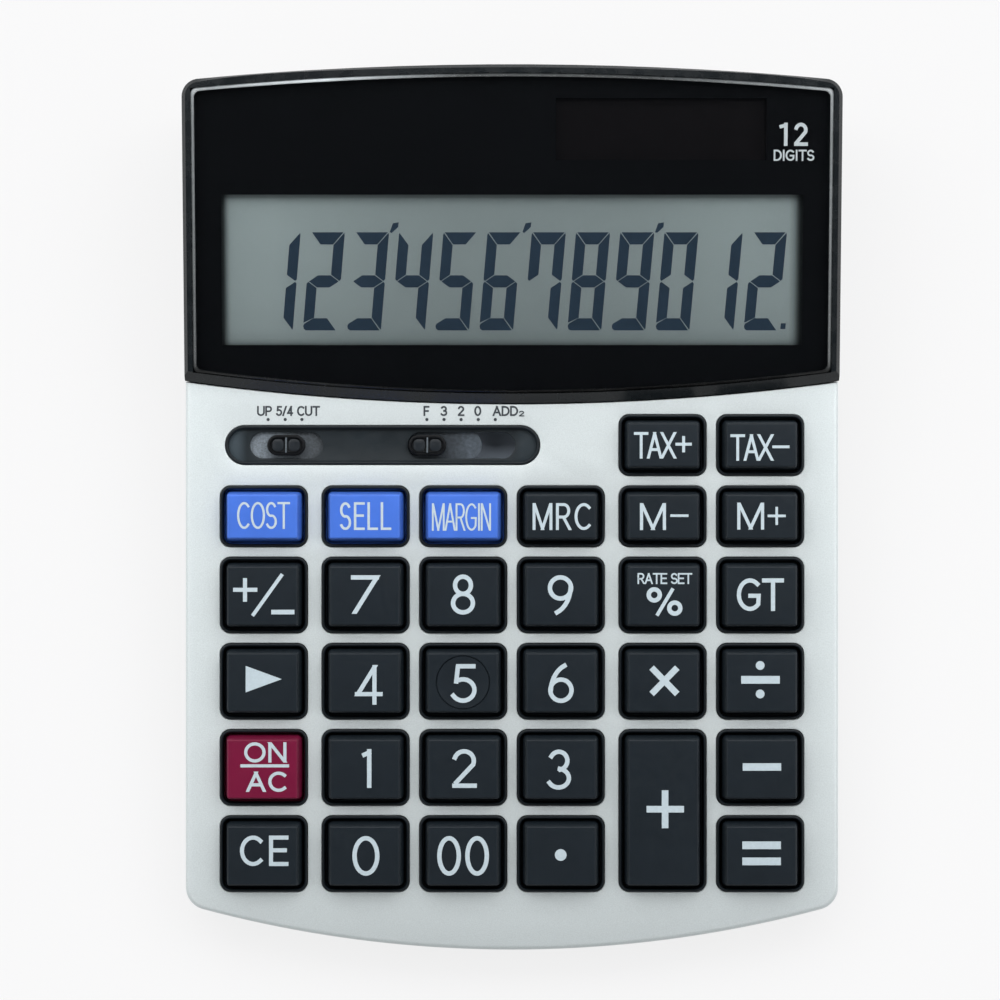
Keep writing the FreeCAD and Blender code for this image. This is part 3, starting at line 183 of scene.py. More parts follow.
def fill(mesh, outer, holes):
    """A flat face with holes between rings that exist already."""
    loops = [outer] + holes
    verts = [vert for loop in loops for vert in loop]
    edges = []
    start = 0
    for loop in loops:
        count = len(loop)
        edges += [(start + i, start + (i + 1) % count) for i in range(count)]
        start += count
    flat = [Vector((vert.co.x, vert.co.y)) for vert in verts]
    faces, source = delaunay_2d_cdt(flat, edges, [], 0, 1e-7)[2:4]
    for face in faces:
        corners = [verts[source[i][0]] for i in face]
        middle = sum((corner.co for corner in corners), Vector()) / 3
        if not any(inside(middle, hole) for hole in holes) and inside(middle, outer):
            mesh.faces.new(corners)


def inside(place, loop):
    crossings = 0
    count = len(loop)
    for i in range(count):
        a = loop[i].co
        b = loop[(i + 1) % count].co
        if (a.y > place.y) != (b.y > place.y):
            if place.x < a.x + (place.y - a.y) * (b.x - a.x) / (b.y - a.y):
                crossings += 1
    return crossings % 2 == 1


def slab(mesh, outline, holes, top, bottom, edge, hole_edge):
    """A plate with holes, all with rounded upper edges."""
    outer = [ring(mesh, outline(inset), n) for inset, n in [(0, bottom)] + rounding(0, top, edge)]
    skin(mesh, outer)
    tops = []
    bottoms = []
    for hole in holes:
        profile = [(0, bottom)] + [(-inset, n) for inset, n in rounding(0, top, hole_edge, 3)]
        rings = [ring(mesh, hole(inset), n) for inset, n in profile]
        skin(mesh, rings)
        tops.append(rings[-1])
        bottoms.append(rings[0])
    fill(mesh, outer[-1], tops)
    fill(mesh, outer[0], bottoms)


def piece(name, mesh, plane, body, material, slot, *replaced, smooth=35):
    bmesh.ops.recalc_face_normals(mesh, faces=mesh.faces)
    data = bpy.data.meshes.new(name)
    mesh.to_mesh(data)
    mesh.free()
    data.transform(plane)
    data.shade_smooth()
    data.set_sharp_from_angle(angle=math.radians(smooth))
    data.materials.append(material)
    thing = bpy.data.objects.new(name, data)
    scene.collection.objects.link(thing)
    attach(thing, body)
    if replaced:
        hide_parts(*replaced)
    return thing


def display_y(v):
    """The object's y, in metres, at a place of the display's plane, v millimetres behind its front edge."""
    return (hood_plane @ Vector((0, v, 0))).y


# Materials

def srgb(red, green, blue):
    shares = [c / 255 for c in (red, green, blue)]
    return [((c + 0.055) / 1.055) ** 2.4 if c > 0.04 else c / 12.92 for c in shares] + [1]


class Look:
    """A shader whose colour, roughness and grain come from procedural patterns in the object's own space."""

    def __init__(self, name, colour, **sockets):
        self.material = bpy.data.materials.new(name)
        self.material.use_nodes = True
        self.tree = self.material.node_tree
        self.sockets = self.tree.nodes["Principled BSDF"].inputs
        self.colour = colour
        self.feed(colour, self.sockets["Base Color"])
        for socket, value in sockets.items():
            self.feed(value, self.sockets[socket.replace("_", " ")])
        self.place = self.tree.nodes.new("ShaderNodeTexCoord").outputs["Object"]

    def feed(self, value, socket):
        """Links a node's output to the socket, or sets the socket to a number or a colour."""
        if isinstance(value, bpy.types.NodeSocket):
            self.tree.links.new(value, socket)
        else:
            socket.default_value = value

    def node(self, kind, **inputs):
        node = self.tree.nodes.new("ShaderNode" + kind)
        for socket, value in inputs.items():
            self.feed(value, node.inputs[socket.replace("_", " ")])
        return node

    def noise(self, scale, detail):
        return self.node("TexNoise", Vector=self.place, Scale=scale, Detail=detail).outputs["Fac"]

    def axes(self):
        return self.node("SeparateXYZ", Vector=self.place).outputs

    def maths(self, operation, *values):
        node = self.node("Math")
        node.operation = operation
        for socket, value in zip(node.inputs, values):
            self.feed(value, socket)
        return node.outputs[0]

    def ramp(self, value, stops):
        node = self.node("ValToRGB", Fac=value)
        ramp = node.color_ramp
        ramp.elements[0].position, ramp.elements[0].color = stops[0]
        ramp.elements[1].position, ramp.elements[1].color = stops[-1]
        for position, colour in stops[1:-1]:
            ramp.elements.new(position).color = colour
        return node.outputs["Color"]

    def remap(self, value, from_low, from_high, low, high):
        return self.node("MapRange", Value=value, From_Min=from_low, From_Max=from_high, To_Min=low,
                         To_Max=high).outputs["Result"]

    def blend(self, blend_type, share, colour):
        """Mixes another colour into the one that the shader has."""
        mix = self.node("Mix", Factor=share)
        mix.data_type = "RGBA"
        mix.blend_type = blend_type
        below, above = [socket for socket in mix.inputs if socket.type == "RGBA"]
        self.feed(self.sockets["Base Color"].links[0].from_socket, below)
        self.feed(colour, above)
        result = [socket for socket in mix.outputs if socket.type == "RGBA"][0]
        self.feed(result, self.sockets["Base Color"])

    def mottle(self, scale, spread, detail=3.0):
        """Lightens and darkens the colour a little."""
        dark = [c * (1 - spread) for c in self.colour[:3]] + [1]
        light = [min(c * (1 + spread), 1) for c in self.colour[:3]] + [1]
        colours = self.ramp(self.noise(scale, detail), [(0.3, dark), (0.7, light)])
        self.feed(colours, self.sockets["Base Color"])
        return self

    def uneven(self, scale, low, high):
        self.feed(self.remap(self.noise(scale, 3.0), 0.3, 0.7, low, high), self.sockets["Roughness"])
        return self

    def shaded(self, axis, *stops):
        """Paints shade into the colour along one axis: each stop is a place in metres and the share left
        there.
        """
        low, high = stops[0][0], stops[-1][0]
        along = self.remap(self.axes()[axis], low, high, 0, 1)
        greys = [((place - low) / (high - low), [share] * 3 + [1]) for place, share in stops]
        self.blend("MULTIPLY", 1.0, self.ramp(along, greys))
        return self

    def patch(self, colour, *spans):
        """Another colour inside a box: for each axis, where its middle lies and half its size, in metres."""
        axes = self.axes()
        within = 1.0
        for axis, middle, half in spans:
            within = self.maths("MULTIPLY", within, self.maths("COMPARE", axes[axis], middle, half))
        self.blend("MIX", within, srgb(*colour))
        return self

    def grain(self, scale, depth, detail=2.0):
        """A fine moulded texture, with its depth in metres."""
        bump = self.node("Bump", Distance=depth, Strength=1.0, Height=self.noise(scale, detail))
        self.feed(bump.outputs["Normal"], self.sockets["Normal"])
        return self


def look(name, colour, **sockets):
    return Look(name, srgb(*colour), **sockets)


silver = look("silver_paint", (215, 223, 224), Roughness=0.42, Metallic=0.12, Coat_Weight=0.15,
              Coat_Roughness=0.25)
silver.mottle(4500, 0.06, 1.0).uneven(700, 0.36, 0.48).grain(5000, 0.000006)
# Painted shade: the silver is darker across its middle and towards the front, lighter towards the sides and
# the rear.
silver.shaded("X", (-0.0745, 1.0), (-0.06, 0.94), (-0.03, 0.9), (0.03, 0.9), (0.06, 0.93), (0.0745, 0.98))
silver.shaded("Y", (-0.1, 0.9), (-0.085, 0.95), (-0.05, 1.0), (0.03, 1.0))
gloss_black = look("gloss_black", (17, 22, 25), Roughness=0.28, Coat_Weight=0.3, Coat_Roughness=0.14)
gloss_black.mottle(40, 0.12).uneven(300, 0.22, 0.32)
tub_plastic = look("tub_plastic", (38, 41, 45), Roughness=0.5)
tub_plastic.mottle(120, 0.1).uneven(800, 0.42, 0.58).grain(2200, 0.00003, 3.0)
frame_plastic = look("frame_plastic", (17, 24, 29), Roughness=0.4, Specular_IOR_Level=0.25)
frame_plastic.mottle(80, 0.15).uneven(600, 0.34, 0.46)
floor_plastic = look("switch_floor", (66, 77, 84), Roughness=0.42, Specular_IOR_Level=0.25)
floor_plastic.mottle(150, 0.12).uneven(500, 0.34, 0.5).grain(2600, 0.000015)
# Painted shade: the switch floor is darkened along most of the recess, much less at its left end and a little
# less at its right end.
floor_plastic.shaded("X", (-0.0655, 0.9), (-0.0625, 0.75), (-0.0605, 0.26), (0.0006, 0.26), (0.0022, 0.42),
                     (0.007, 0.42))
key_black = look("key_black", (27, 34, 40), Roughness=0.42, Specular_IOR_Level=0.2)
key_black.mottle(200, 0.07).uneven(900, 0.36, 0.48).grain(3200, 0.000012)
key_blue = look("key_blue", (68, 112, 208), Roughness=0.38, Specular_IOR_Level=0.3)
key_blue.mottle(200, 0.04).uneven(900, 0.32, 0.44).grain(3200, 0.000012)
key_red = look("key_red", (112, 20, 54), Roughness=0.38, Specular_IOR_Level=0.2)
key_red.mottle(200, 0.05).uneven(900, 0.32, 0.44).grain(3200, 0.000012)
white_print = look("white_print", (186, 200, 207), Roughness=0.5, Specular_IOR_Level=0.2)
white_print.mottle(1500, 0.04).uneven(900, 0.45, 0.6)
dark_print = look("dark_print", (46, 52, 58), Roughness=0.5)
dark_print.mottle(1500, 0.06).uneven(900, 0.45, 0.6)
grey_print = look("grey_print", (206, 216, 220), Roughness=0.5)
grey_print.mottle(1500, 0.06).uneven(900, 0.45, 0.6)
clear = look("clear_window", (10, 12, 14), Roughness=0.03, Alpha=0.2, Coat_Weight=1.0, Coat_Roughness=0.02)
clear.uneven(60, 0.02, 0.05).grain(30, 0.000002)
mask_print = look("mask_print", (12, 14, 17), Roughness=0.45, Specular_IOR_Level=0.05)
mask_print.mottle(60, 0.1).uneven(400, 0.4, 0.5)
lcd_face = look("lcd_face", (177, 193, 194), Roughness=0.5, Specular_IOR_Level=0.1)
lcd_face.mottle(2500, 0.03).uneven(200, 0.3, 0.42)
# Painted shade: the display is darker across its middle than towards its ends, with painted shadows along its
# edges, deepest at the left, right and front, where the window's rim shades it.
lcd_face.shaded("X", (-0.0661, 0.04), (-0.0655, 0.15), (-0.0652, 0.4), (-0.0643, 0.93), (-0.0625, 0.97),
                (-0.0545, 1.0), (-0.0435, 0.91), (-0.03, 0.83), (-0.016, 0.78), (0.0, 0.76), (0.026, 0.79),
                (0.04, 0.86), (0.053, 0.94), (0.063, 0.92), (0.0643, 0.6), (0.0653, 0.08), (0.0661, 0.03))
lcd_face.shaded("Y", (display_y(10.9), 0.1), (display_y(11.4), 0.3), (display_y(12.1), 0.6),
                (display_y(13), 0.78), (display_y(15.5), 0.88), (display_y(23.4), 0.95), (display_y(37), 1.0),
                (display_y(43.3), 0.97), (display_y(45.2), 0.85))
segment_ink = look("lcd_segment", (50, 68, 86), Roughness=0.5, Specular_IOR_Level=0.1)
segment_ink.mottle(600, 0.05)
solar_dark = look("solar_cell", (20, 18, 20), Roughness=0.2)
solar_dark.mottle(300, 0.2)
knob_plastic = look("knob_plastic", (9, 11, 14), Roughness=0.4, Specular_IOR_Level=0.18)
knob_plastic.mottle(400, 0.12).uneven(900, 0.32, 0.5).grain(2600, 0.00002)
# Painted light: a lighter copy of the knob's black plastic, for the light on its dished pads.
pad_lit_plastic = look("pad_lit_plastic", (29, 34, 39), Roughness=0.35, Specular_IOR_Level=0.35)
pad_lit_plastic.mottle(700, 0.15).uneven(900, 0.28, 0.42).grain(2600, 0.00002)
# Painted highlight: the knob's ridge is its own black plastic, coloured light grey for the light along its
# top.
ridge_highlight = look("ridge_highlight", (82, 90, 96), Roughness=0.3)
ridge_highlight.mottle(900, 0.1).uneven(900, 0.25, 0.4)
pale_shield = look("pale_shield", (124, 133, 141), Roughness=0.5, Specular_IOR_Level=0.3)
pale_shield.mottle(2200, 0.35, 4.0).grain(2600, 0.00002)
# Painted shade: the rounding shield is darker to the right of its knob.
pale_shield.shaded("X", (-0.056, 0.9), (-0.052, 0.8), (-0.049, 0.36), (-0.042, 0.24))
grey_shield = look("grey_shield", (70, 78, 86), Roughness=0.5, Specular_IOR_Level=0.3)
grey_shield.mottle(1300, 0.3, 4.0).grain(2600, 0.00002)
# Painted shade: the decimal shield is darker next to its knob.
grey_shield.shaded("X", (-0.017, 0.45), (-0.0125, 0.6), (-0.0095, 1.0), (-0.006, 0.85))
# Painted highlight: the pale colour of the window's bevel stands in for the light on it, brightest at the
# rear and left of the middle, nearly black along the front.
lens_edge_highlight = look("lens_edge_highlight", (206, 214, 217), Roughness=0.25)
lens_edge_highlight.mottle(300, 0.08).uneven(400, 0.18, 0.3)
lens_edge_highlight.shaded("X", (-0.0725, 0.36), (-0.07, 0.42), (-0.043, 0.95), (-0.03, 0.45), (-0.012, 0.1),
                 (0.032, 0.08), (0.06, 0.3), (0.0725, 0.42))
lens_edge_highlight.shaded("Y", (display_y(-1), 0.02), (display_y(5.3), 0.03), (display_y(8), 0.35),
                 (display_y(60), 0.7), (display_y(68), 1.0))
screw_steel = look("screw_steel", (150, 152, 155), Roughness=0.3, Metallic=1.0)
screw_steel.mottle(500, 0.1).uneven(900, 0.25, 0.4)
spring_metal = look("spring_metal", (196, 160, 96), Roughness=0.3, Metallic=1.0)
spring_metal.mottle(500, 0.1).uneven(900, 0.25, 0.4)
bright_steel = look("bright_steel", (196, 196, 198), Roughness=0.25, Metallic=1.0)
bright_steel.mottle(500, 0.06).uneven(900, 0.2, 0.35)
foot_rubber = look("foot_rubber", (26, 26, 27), Roughness=0.8)
foot_rubber.mottle(300, 0.15).grain(1800, 0.00004)
silicone = look("silicone", (168, 172, 172), Roughness=0.55)
silicone.mottle(200, 0.06).grain(1500, 0.00002)
board = look("board", (30, 56, 44), Roughness=0.4)
board.mottle(350, 0.12).uneven(500, 0.45, 0.65)
slots_y = (deck_plane @ Vector((0, SWITCH_V, BOARD_TOP))).y
board.patch((146, 158, 172), ("X", -0.031, 0.036), ("Y", slots_y, 0.0042))
resin = look("resin", (16, 16, 18), Roughness=0.25)
resin.mottle(200, 0.2).uneven(300, 0.2, 0.35)
film = look("ribbon_film", (150, 100, 40), Roughness=0.3)
film.mottle(1200, 0.12)
sleeve = look("wire_sleeve", (150, 28, 24), Roughness=0.4)
sleeve.mottle(400, 0.1)

for look_of, names in (
    (gloss_black, ["display_hood"]),
    (tub_plastic, ["lower_case", "battery_cover"]),
    (mask_print, ["window_mask"]),
    (lcd_face, ["lcd_panel"]),
    (film, ["lcd_ribbon"]),
    (solar_dark, ["solar_cell"]),
    (sleeve, ["solar_leads", "battery_leads"]),
    (silicone, ["key_mat"]),
    (board, ["main_pcb"]),
    (resin, ["processor_blob"]),
    (bright_steel, ["buffer_capacitor", "battery_cell", "battery_contact_plus", "battery_contact_minus"]),
    (spring_metal, ["rounding_wiper", "decimal_wiper"]),
    (pale_shield, ["rounding_shield"]),
    (grey_shield, ["decimal_shield"]),
    (foot_rubber, ["rubber_feet"]),
    (screw_steel, ["case_screws"]),
):
    for name in names:
        for slot in nodes[name].material_slots:
            slot.material = look_of.material


# The keys: name, column, row

KEYS = [
    ("key_tax_plus", 4, 5), ("key_tax_minus", 5, 5),
    ("key_cost", 0, 4), ("key_sell", 1, 4), ("key_margin", 2, 4), ("key_memory_recall", 3, 4),
    ("key_memory_minus", 4, 4), ("key_memory_plus", 5, 4),
    ("key_sign", 0, 3), ("key_7", 1, 3), ("key_8", 2, 3), ("key_9", 3, 3), ("key_rate_set", 4, 3),
    ("key_grand_total", 5, 3),
    ("key_shift_right", 0, 2), ("key_4", 1, 2), ("key_5", 2, 2), ("key_6", 3, 2), ("key_times", 4, 2),
    ("key_divide", 5, 2),
    ("key_on_clear", 0, 1), ("key_1", 1, 1), ("key_2", 2, 1), ("key_3", 3, 1), ("key_minus", 5, 1),
    ("key_clear_entry", 0, 0), ("key_0", 1, 0), ("key_00", 2, 0), ("key_point", 3, 0), ("key_equals", 5, 0),
]
places = {name: (COLUMNS[c], ROWS[r], ROW_LENGTHS[r]) for name, c, r in KEYS}
places["key_plus"] = (COLUMNS[4], (ROWS[0] + ROWS[1]) / 2, TALL * 2 + ROW_BAR)

KEY_TOP = 3.6
KEY_EDGE = 0.45
KEY_LEAN = math.tan(math.radians(9))
KEY_PLAY = 0.3
KEY_WALL = 1.2
KEY_ROOF = 1.3
FLANGE_REACH = 0.78
FLANGE_UNDER = -4.0
FLANGE_THICKNESS = 0.9
STEM_SIDE = 2.4
STEM_CORNER = 0.2
STEM_END = -5.25
FRAME_TOP = -1.5
FRAME_UNDER = -3.0
RIM_INSET = 0.1
RIM_WIDTH = 0.65
RIM_TOP = 0.4
CORNER = 2.44
DISH_RADIUS = 6.2
DISH_DEPTH = 0.45
DISH_STEP = 0.12
DISH_GROOVE = 0.4
GROOVE_WIDTH = 0.34
DISHED_KEY = "key_5"
BLUE_KEYS = ("key_cost", "key_sell", "key_margin")
RED_KEY = "key_on_clear"


def key_surface(name, x, v):
    """The height of the key's top over a point measured from the key's middle."""
    away = math.hypot(x, v)
    if name != DISHED_KEY or away >= DISH_RADIUS:
        return KEY_TOP
    return KEY_TOP - DISH_STEP - (DISH_DEPTH - DISH_STEP) * (1 - (away / DISH_RADIUS) ** 2)


def key_outline(x, v, length):
    return rounded_box(x, v, WELL, length, CORNER)


def add_dish(mesh, x, v, top):
    """The top face of the dished key: a narrow groove round a shallow bowl."""
    dish = rounded_box(x, v, DISH_RADIUS * 2, DISH_RADIUS * 2, DISH_RADIUS, 12)
    circles = [ring(mesh, dish(0), KEY_TOP), ring(mesh, dish(0.06), KEY_TOP - DISH_GROOVE),
               ring(mesh, dish(0.2), KEY_TOP - DISH_GROOVE)]
    parts = 9
    for part in range(parts):
        reach = (DISH_RADIUS - GROOVE_WIDTH) * (1 - part / parts)
        circles.append(ring(mesh, dish(DISH_RADIUS - reach), key_surface(DISHED_KEY, reach, 0)))
    skin(mesh, circles)
    mesh.faces.new(circles[-1])
    fill(mesh, top, [circles[0]])


def make_cap(name):
    """A hollow cap: a flange under the frame, sides that lean in, and a stem over the dome."""
    x, v, length = places[name]
    mesh = bmesh.new()
    base = RIM_INSET + RIM_WIDTH + KEY_PLAY
    flange_edge = RIM_INSET + RIM_WIDTH - FLANGE_REACH
    flange_top = FLANGE_UNDER + FLANGE_THICKNESS
    side = base + (KEY_TOP - KEY_EDGE - FRAME_UNDER) * KEY_LEAN
    wall = base + KEY_WALL + (KEY_TOP - FRAME_UNDER) * KEY_LEAN
    dished = name == DISHED_KEY
    profile = [(wall, KEY_TOP - KEY_ROOF), (wall, FLANGE_UNDER), (flange_edge, FLANGE_UNDER),
               (flange_edge, flange_top), (base, flange_top)]
    profile += rounding(side, KEY_TOP, KEY_EDGE, 20 if dished else 6)
    rings = loft(mesh, key_outline(x, v, length), profile, caps=False)
    mesh.faces.new(rings[0])
    if dished:
        add_dish(mesh, x, v, rings[-1])
    else:
        mesh.faces.new(rings[-1])
    stem = rounded_box(x, v, STEM_SIDE, STEM_SIDE, STEM_CORNER, 2)
    loft(mesh, stem, [(0, STEM_END), (0, KEY_TOP - KEY_WALL)])
    colour, slot = key_black, "key_black"
    if name in BLUE_KEYS:
        colour, slot = key_blue, "key_blue"
    if name == RED_KEY:
        colour, slot = key_red, "key_red"
    piece("cap_" + name[4:], mesh, deck_plane, name, colour.material, slot, name, smooth=5 if dished else 35)


for name in places:
    make_cap(name)


# The rubber mat on the board: a sheet, and a dome under each key

MAT_TOP = -7.7
DOME_TOP = -5.3
DOME_RADIUS = 4.0
RIB_WIDTH = 1.3
RIB_LENGTH = 14.0
MAT_MARGIN = 6.0
MAT_PLAY = 0.3
RIBS = [((COLUMNS[c] + COLUMNS[c + 1]) / 2, (ROWS[r] + ROWS[r + 1]) / 2) for c in (0, 4) for r in (1, 3)]


def make_mat():
    mesh = bmesh.new()
    right = COLUMNS[5] + DOME_RADIUS + MAT_MARGIN / 2
    front = ROWS[0] - DOME_RADIUS * 2
    rear = ROWS[5] + MAT_MARGIN
    step_v = ROWS[4] + MAT_MARGIN
    step_x = COLUMNS[4] - DOME_RADIUS * 2 - MAT_MARGIN / 2

    def outline(inset):
        far = right - inset
        return [(-far, front + inset), (far, front + inset), (far, rear - inset),
                (step_x + inset, rear - inset), (step_x + inset, step_v - inset), (-far, step_v - inset)]

    slots = [rounded_box(x, v, RIB_WIDTH + MAT_PLAY * 2, RIB_LENGTH + MAT_PLAY * 2, 0.4, 3) for x, v in RIBS]
    slab(mesh, outline, slots, MAT_TOP, BOARD_TOP, 0.15, 0.1)
    piece("rubber_mat", mesh, deck_plane, "case", silicone.material, "silicone", "key_mat")


def make_dome(name):
    x, v, length = places[name]
    mesh = bmesh.new()
    profile = [(0, MAT_TOP - 0.05), (0.1, MAT_TOP + 0.3), (1.0, DOME_TOP - 0.3), (1.15, DOME_TOP - 0.08),
               (1.4, DOME_TOP)]
    loft(mesh, rounded_box(x, v, DOME_RADIUS * 2, DOME_RADIUS * 2, DOME_RADIUS, 6), profile)
    dome = piece("dome_" + name[4:], mesh, deck_plane, "case", silicone.material, "silicone")
    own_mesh(dome)


make_mat()
for name in places:
    make_dome(name)


# The frame round the keys, and the floor that the two switches slide in

RECESS_X = -29.5
RECESS_LENGTH = 71.9
RECESS_WIDTH = 9.1
RECESS_FLOOR = -0.9
RECESS_UNDER = -1.9
RECESS_RIM_WIDTH = 0.7
RECESS_RIM_TOP = 0.2
FLOOR_INSET = 0.5
RIM_ROUND = 0.32
SLOT_WIDTH = 6.0
SLOT_PLAY = 0.15
KNOB_LENGTH = 8.6
STEP = 3.9
ROUNDING_X = -51.5
DECIMAL_X = -11.5
SHIELD_REACH = 12.4
SHIELD_LEFT = 14.6
SHIELD_WIDTH = 7.0
CHANNEL_PLAY = 0.2
CHANNEL_WIDTH = SHIELD_WIDTH + CHANNEL_PLAY * 2
FRAME_MARGIN = 0.15
FRAME_FRONT = FRONT_MARGIN - 0.95
FRAME_REAR = SEAM - 1.35
wells = [key_outline(*place) for place in places.values()]
recess = stadium(RECESS_X, SWITCH_V, RECESS_LENGTH, RECESS_WIDTH)
rounding_slot = stadium(ROUNDING_X, SWITCH_V, KNOB_LENGTH + STEP * 2 + SLOT_PLAY * 2, SLOT_WIDTH)
decimal_slot = stadium(DECIMAL_X, SWITCH_V, KNOB_LENGTH + STEP * 4 + SLOT_PLAY * 2, SLOT_WIDTH)


def rim(mesh, outline, inset, width, top):
    profile = [(inset, FRAME_TOP - 0.1)] + rounding(inset, top, min(width / 2, RIM_ROUND))
    far_side = [(inset * 2 + width - i, n) for i, n in reversed(profile)]
    tube(mesh, outline, profile + far_side)


def frame_plate(inset):
    """A box with a notch at the left, which the rounding switch's shield slides in."""
    half = COLUMNS[5] + WELL / 2 + FRAME_MARGIN
    left, right = inset - half, half - inset
    front, rear = FRAME_FRONT + inset, FRAME_REAR - inset
    notch_front = SWITCH_V - CHANNEL_WIDTH / 2 - inset
    notch_rear = SWITCH_V + CHANNEL_WIDTH / 2 + inset
    notch_end = ROUNDING_X + STEP + SHIELD_REACH + CHANNEL_PLAY + inset
    return [(right, front), (right, rear), (left, rear), (left, notch_rear), (notch_end, notch_rear),
            (notch_end, notch_front), (left, notch_front), (left, front)]


def make_frame():
    mesh = bmesh.new()

    def drawn_in(outline):
        return lambda inset: outline(RIM_INSET + RIM_WIDTH + inset)

    left = DECIMAL_X - STEP * 2 - SHIELD_LEFT - CHANNEL_PLAY
    right = DECIMAL_X + STEP * 2 + SHIELD_REACH + CHANNEL_PLAY
    channel = stadium((left + right) / 2, SWITCH_V, right - left, CHANNEL_WIDTH)
    holes = [drawn_in(well) for well in wells] + [channel]
    slab(mesh, frame_plate, holes, FRAME_TOP, FRAME_UNDER, 0.1, 0.02)
    for well in wells:
        rim(mesh, well, RIM_INSET, RIM_WIDTH, RIM_TOP)
    rim(mesh, recess, RIM_INSET, RECESS_RIM_WIDTH, RECESS_RIM_TOP)
    for x, v in RIBS:
        loft(mesh, rounded_box(x, v, RIB_WIDTH, RIB_LENGTH, 0.1, 2), [(0, BOARD_TOP), (0, FRAME_UNDER)])
    piece("key_frame_rims", mesh, deck_plane, "case", frame_plastic.material, "frame_black", "key_frame")


def make_switch_floor():
    mesh = bmesh.new()
    slab(mesh, lambda inset: recess(inset + FLOOR_INSET), [rounding_slot, decimal_slot], RECESS_FLOOR,
         RECESS_UNDER, 0.02, 0.15)
    piece("switch_floor", mesh, deck_plane, "case", floor_plastic.material, "frame_black")


make_frame()
make_switch_floor()


# The silver case round them

SHELL_WALL = 2.0
DECK_UNDER = -1.5
SHELL_EDGE = 1.2
OPENING_EDGE = 0.22


def make_shell():
    mesh = bmesh.new()
    outline = shell_outline(CASE_WIDTH / 2, FRONT_BOW, FRONT_CORNER, SEAM, SEAM_BOW)
    profile = [(SHELL_WALL, DECK_UNDER), (SHELL_WALL, PARTING), (0, PARTING)] + rounding(0, 0, SHELL_EDGE, 7)
    rings = [ring(mesh, outline(inset), n) for inset, n in profile]
    skin(mesh, rings)
    tops = []
    bottoms = []
    for hole in wells + [recess]:
        profile = [(0, DECK_UNDER)] + [(-inset, n) for inset, n in rounding(0, 0, OPENING_EDGE, 3)]
        loops = [ring(mesh, hole(inset), n) for inset, n in profile]
        skin(mesh, loops)
        tops.append(loops[-1])
        bottoms.append(loops[0])
    fill(mesh, rings[-1], tops)
    fill(mesh, rings[0], bottoms)
    piece("silver_shell", mesh, deck_plane, "case", silver.material, "silver_shell", "upper_case")


make_shell()


# The sliding knobs: a raised rim round two dished pads with a ridge between them

KNOB_WIDTH = 4.7
KNOB_TOP = 0.5
KNOB_DIP = 0.12
KNOB_BOTTOM = -1.95
KNOB_STEM = 3.0
KNOB_STEM_END = -8.05
PAD_PLACE = 1.83
PAD_LENGTH = 2.75
PAD_WIDTH = 2.9
PAD_CORNER = 1.1
RIDGE_THICKNESS = 0.42
RIDGE_WIDTH = 3.6


def make_knob_cap(x, body, node):
    mesh = bmesh.new()
    profile = [(0, KNOB_BOTTOM)] + rounding(0, KNOB_TOP, 0.3)
    profile += [(0.62, KNOB_TOP), (0.8, KNOB_DIP), (1.6, KNOB_DIP - 0.1)]
    loft(mesh, stadium(x, SWITCH_V, KNOB_LENGTH, KNOB_WIDTH), profile)
    stem = rounded_box(x, SWITCH_V, KNOB_STEM, KNOB_STEM, STEM_CORNER, 2)
    loft(mesh, stem, [(0, KNOB_STEM_END), (0, KNOB_BOTTOM)])
    piece(node + "_cap", mesh, deck_plane, body, knob_plastic.material, "knob_black", node)


def make_knob_pads(x, body, node):
    mesh = bmesh.new()
    profile = [(0, -0.3), (0, -0.05), (0.12, 0.12), (0.5, 0.19), (0.95, 0.21)]
    for side in (-1, 1):
        pad = rounded_box(x + side * PAD_PLACE, SWITCH_V, PAD_LENGTH, PAD_WIDTH, PAD_CORNER)
        loft(mesh, pad, [(inset, KNOB_DIP + rise) for inset, rise in profile])
    # The pads are coloured lighter than the knob as painted light.
    piece(node + "_pads", mesh, deck_plane, body, pad_lit_plastic.material, "knob_black")


def make_knob_ridge(x, body, node):
    mesh = bmesh.new()
    profile = [(0, KNOB_DIP - 0.4)] + rounding(0, KNOB_TOP + 0.03, 0.15)
    loft(mesh, rounded_box(x, SWITCH_V, RIDGE_THICKNESS, RIDGE_WIDTH, 0.2, 4), profile)
    # The ridge's light grey is a painted highlight.
    piece(node + "_ridge", mesh, deck_plane, body, ridge_highlight.material, "knob_black")


for knob in ((ROUNDING_X, "rounding_selector", "rounding_knob"),
             (DECIMAL_X - STEP * 2, "decimal_selector", "decimal_knob")):
    make_knob_cap(*knob)
    make_knob_pads(*knob)
    make_knob_ridge(*knob)


# The window over the display

HOOD_RIM = 2.0
WINDOW_PLAY = 0.1
WINDOW_CORNER = 1.5
WINDOW_UNDER = -1.74


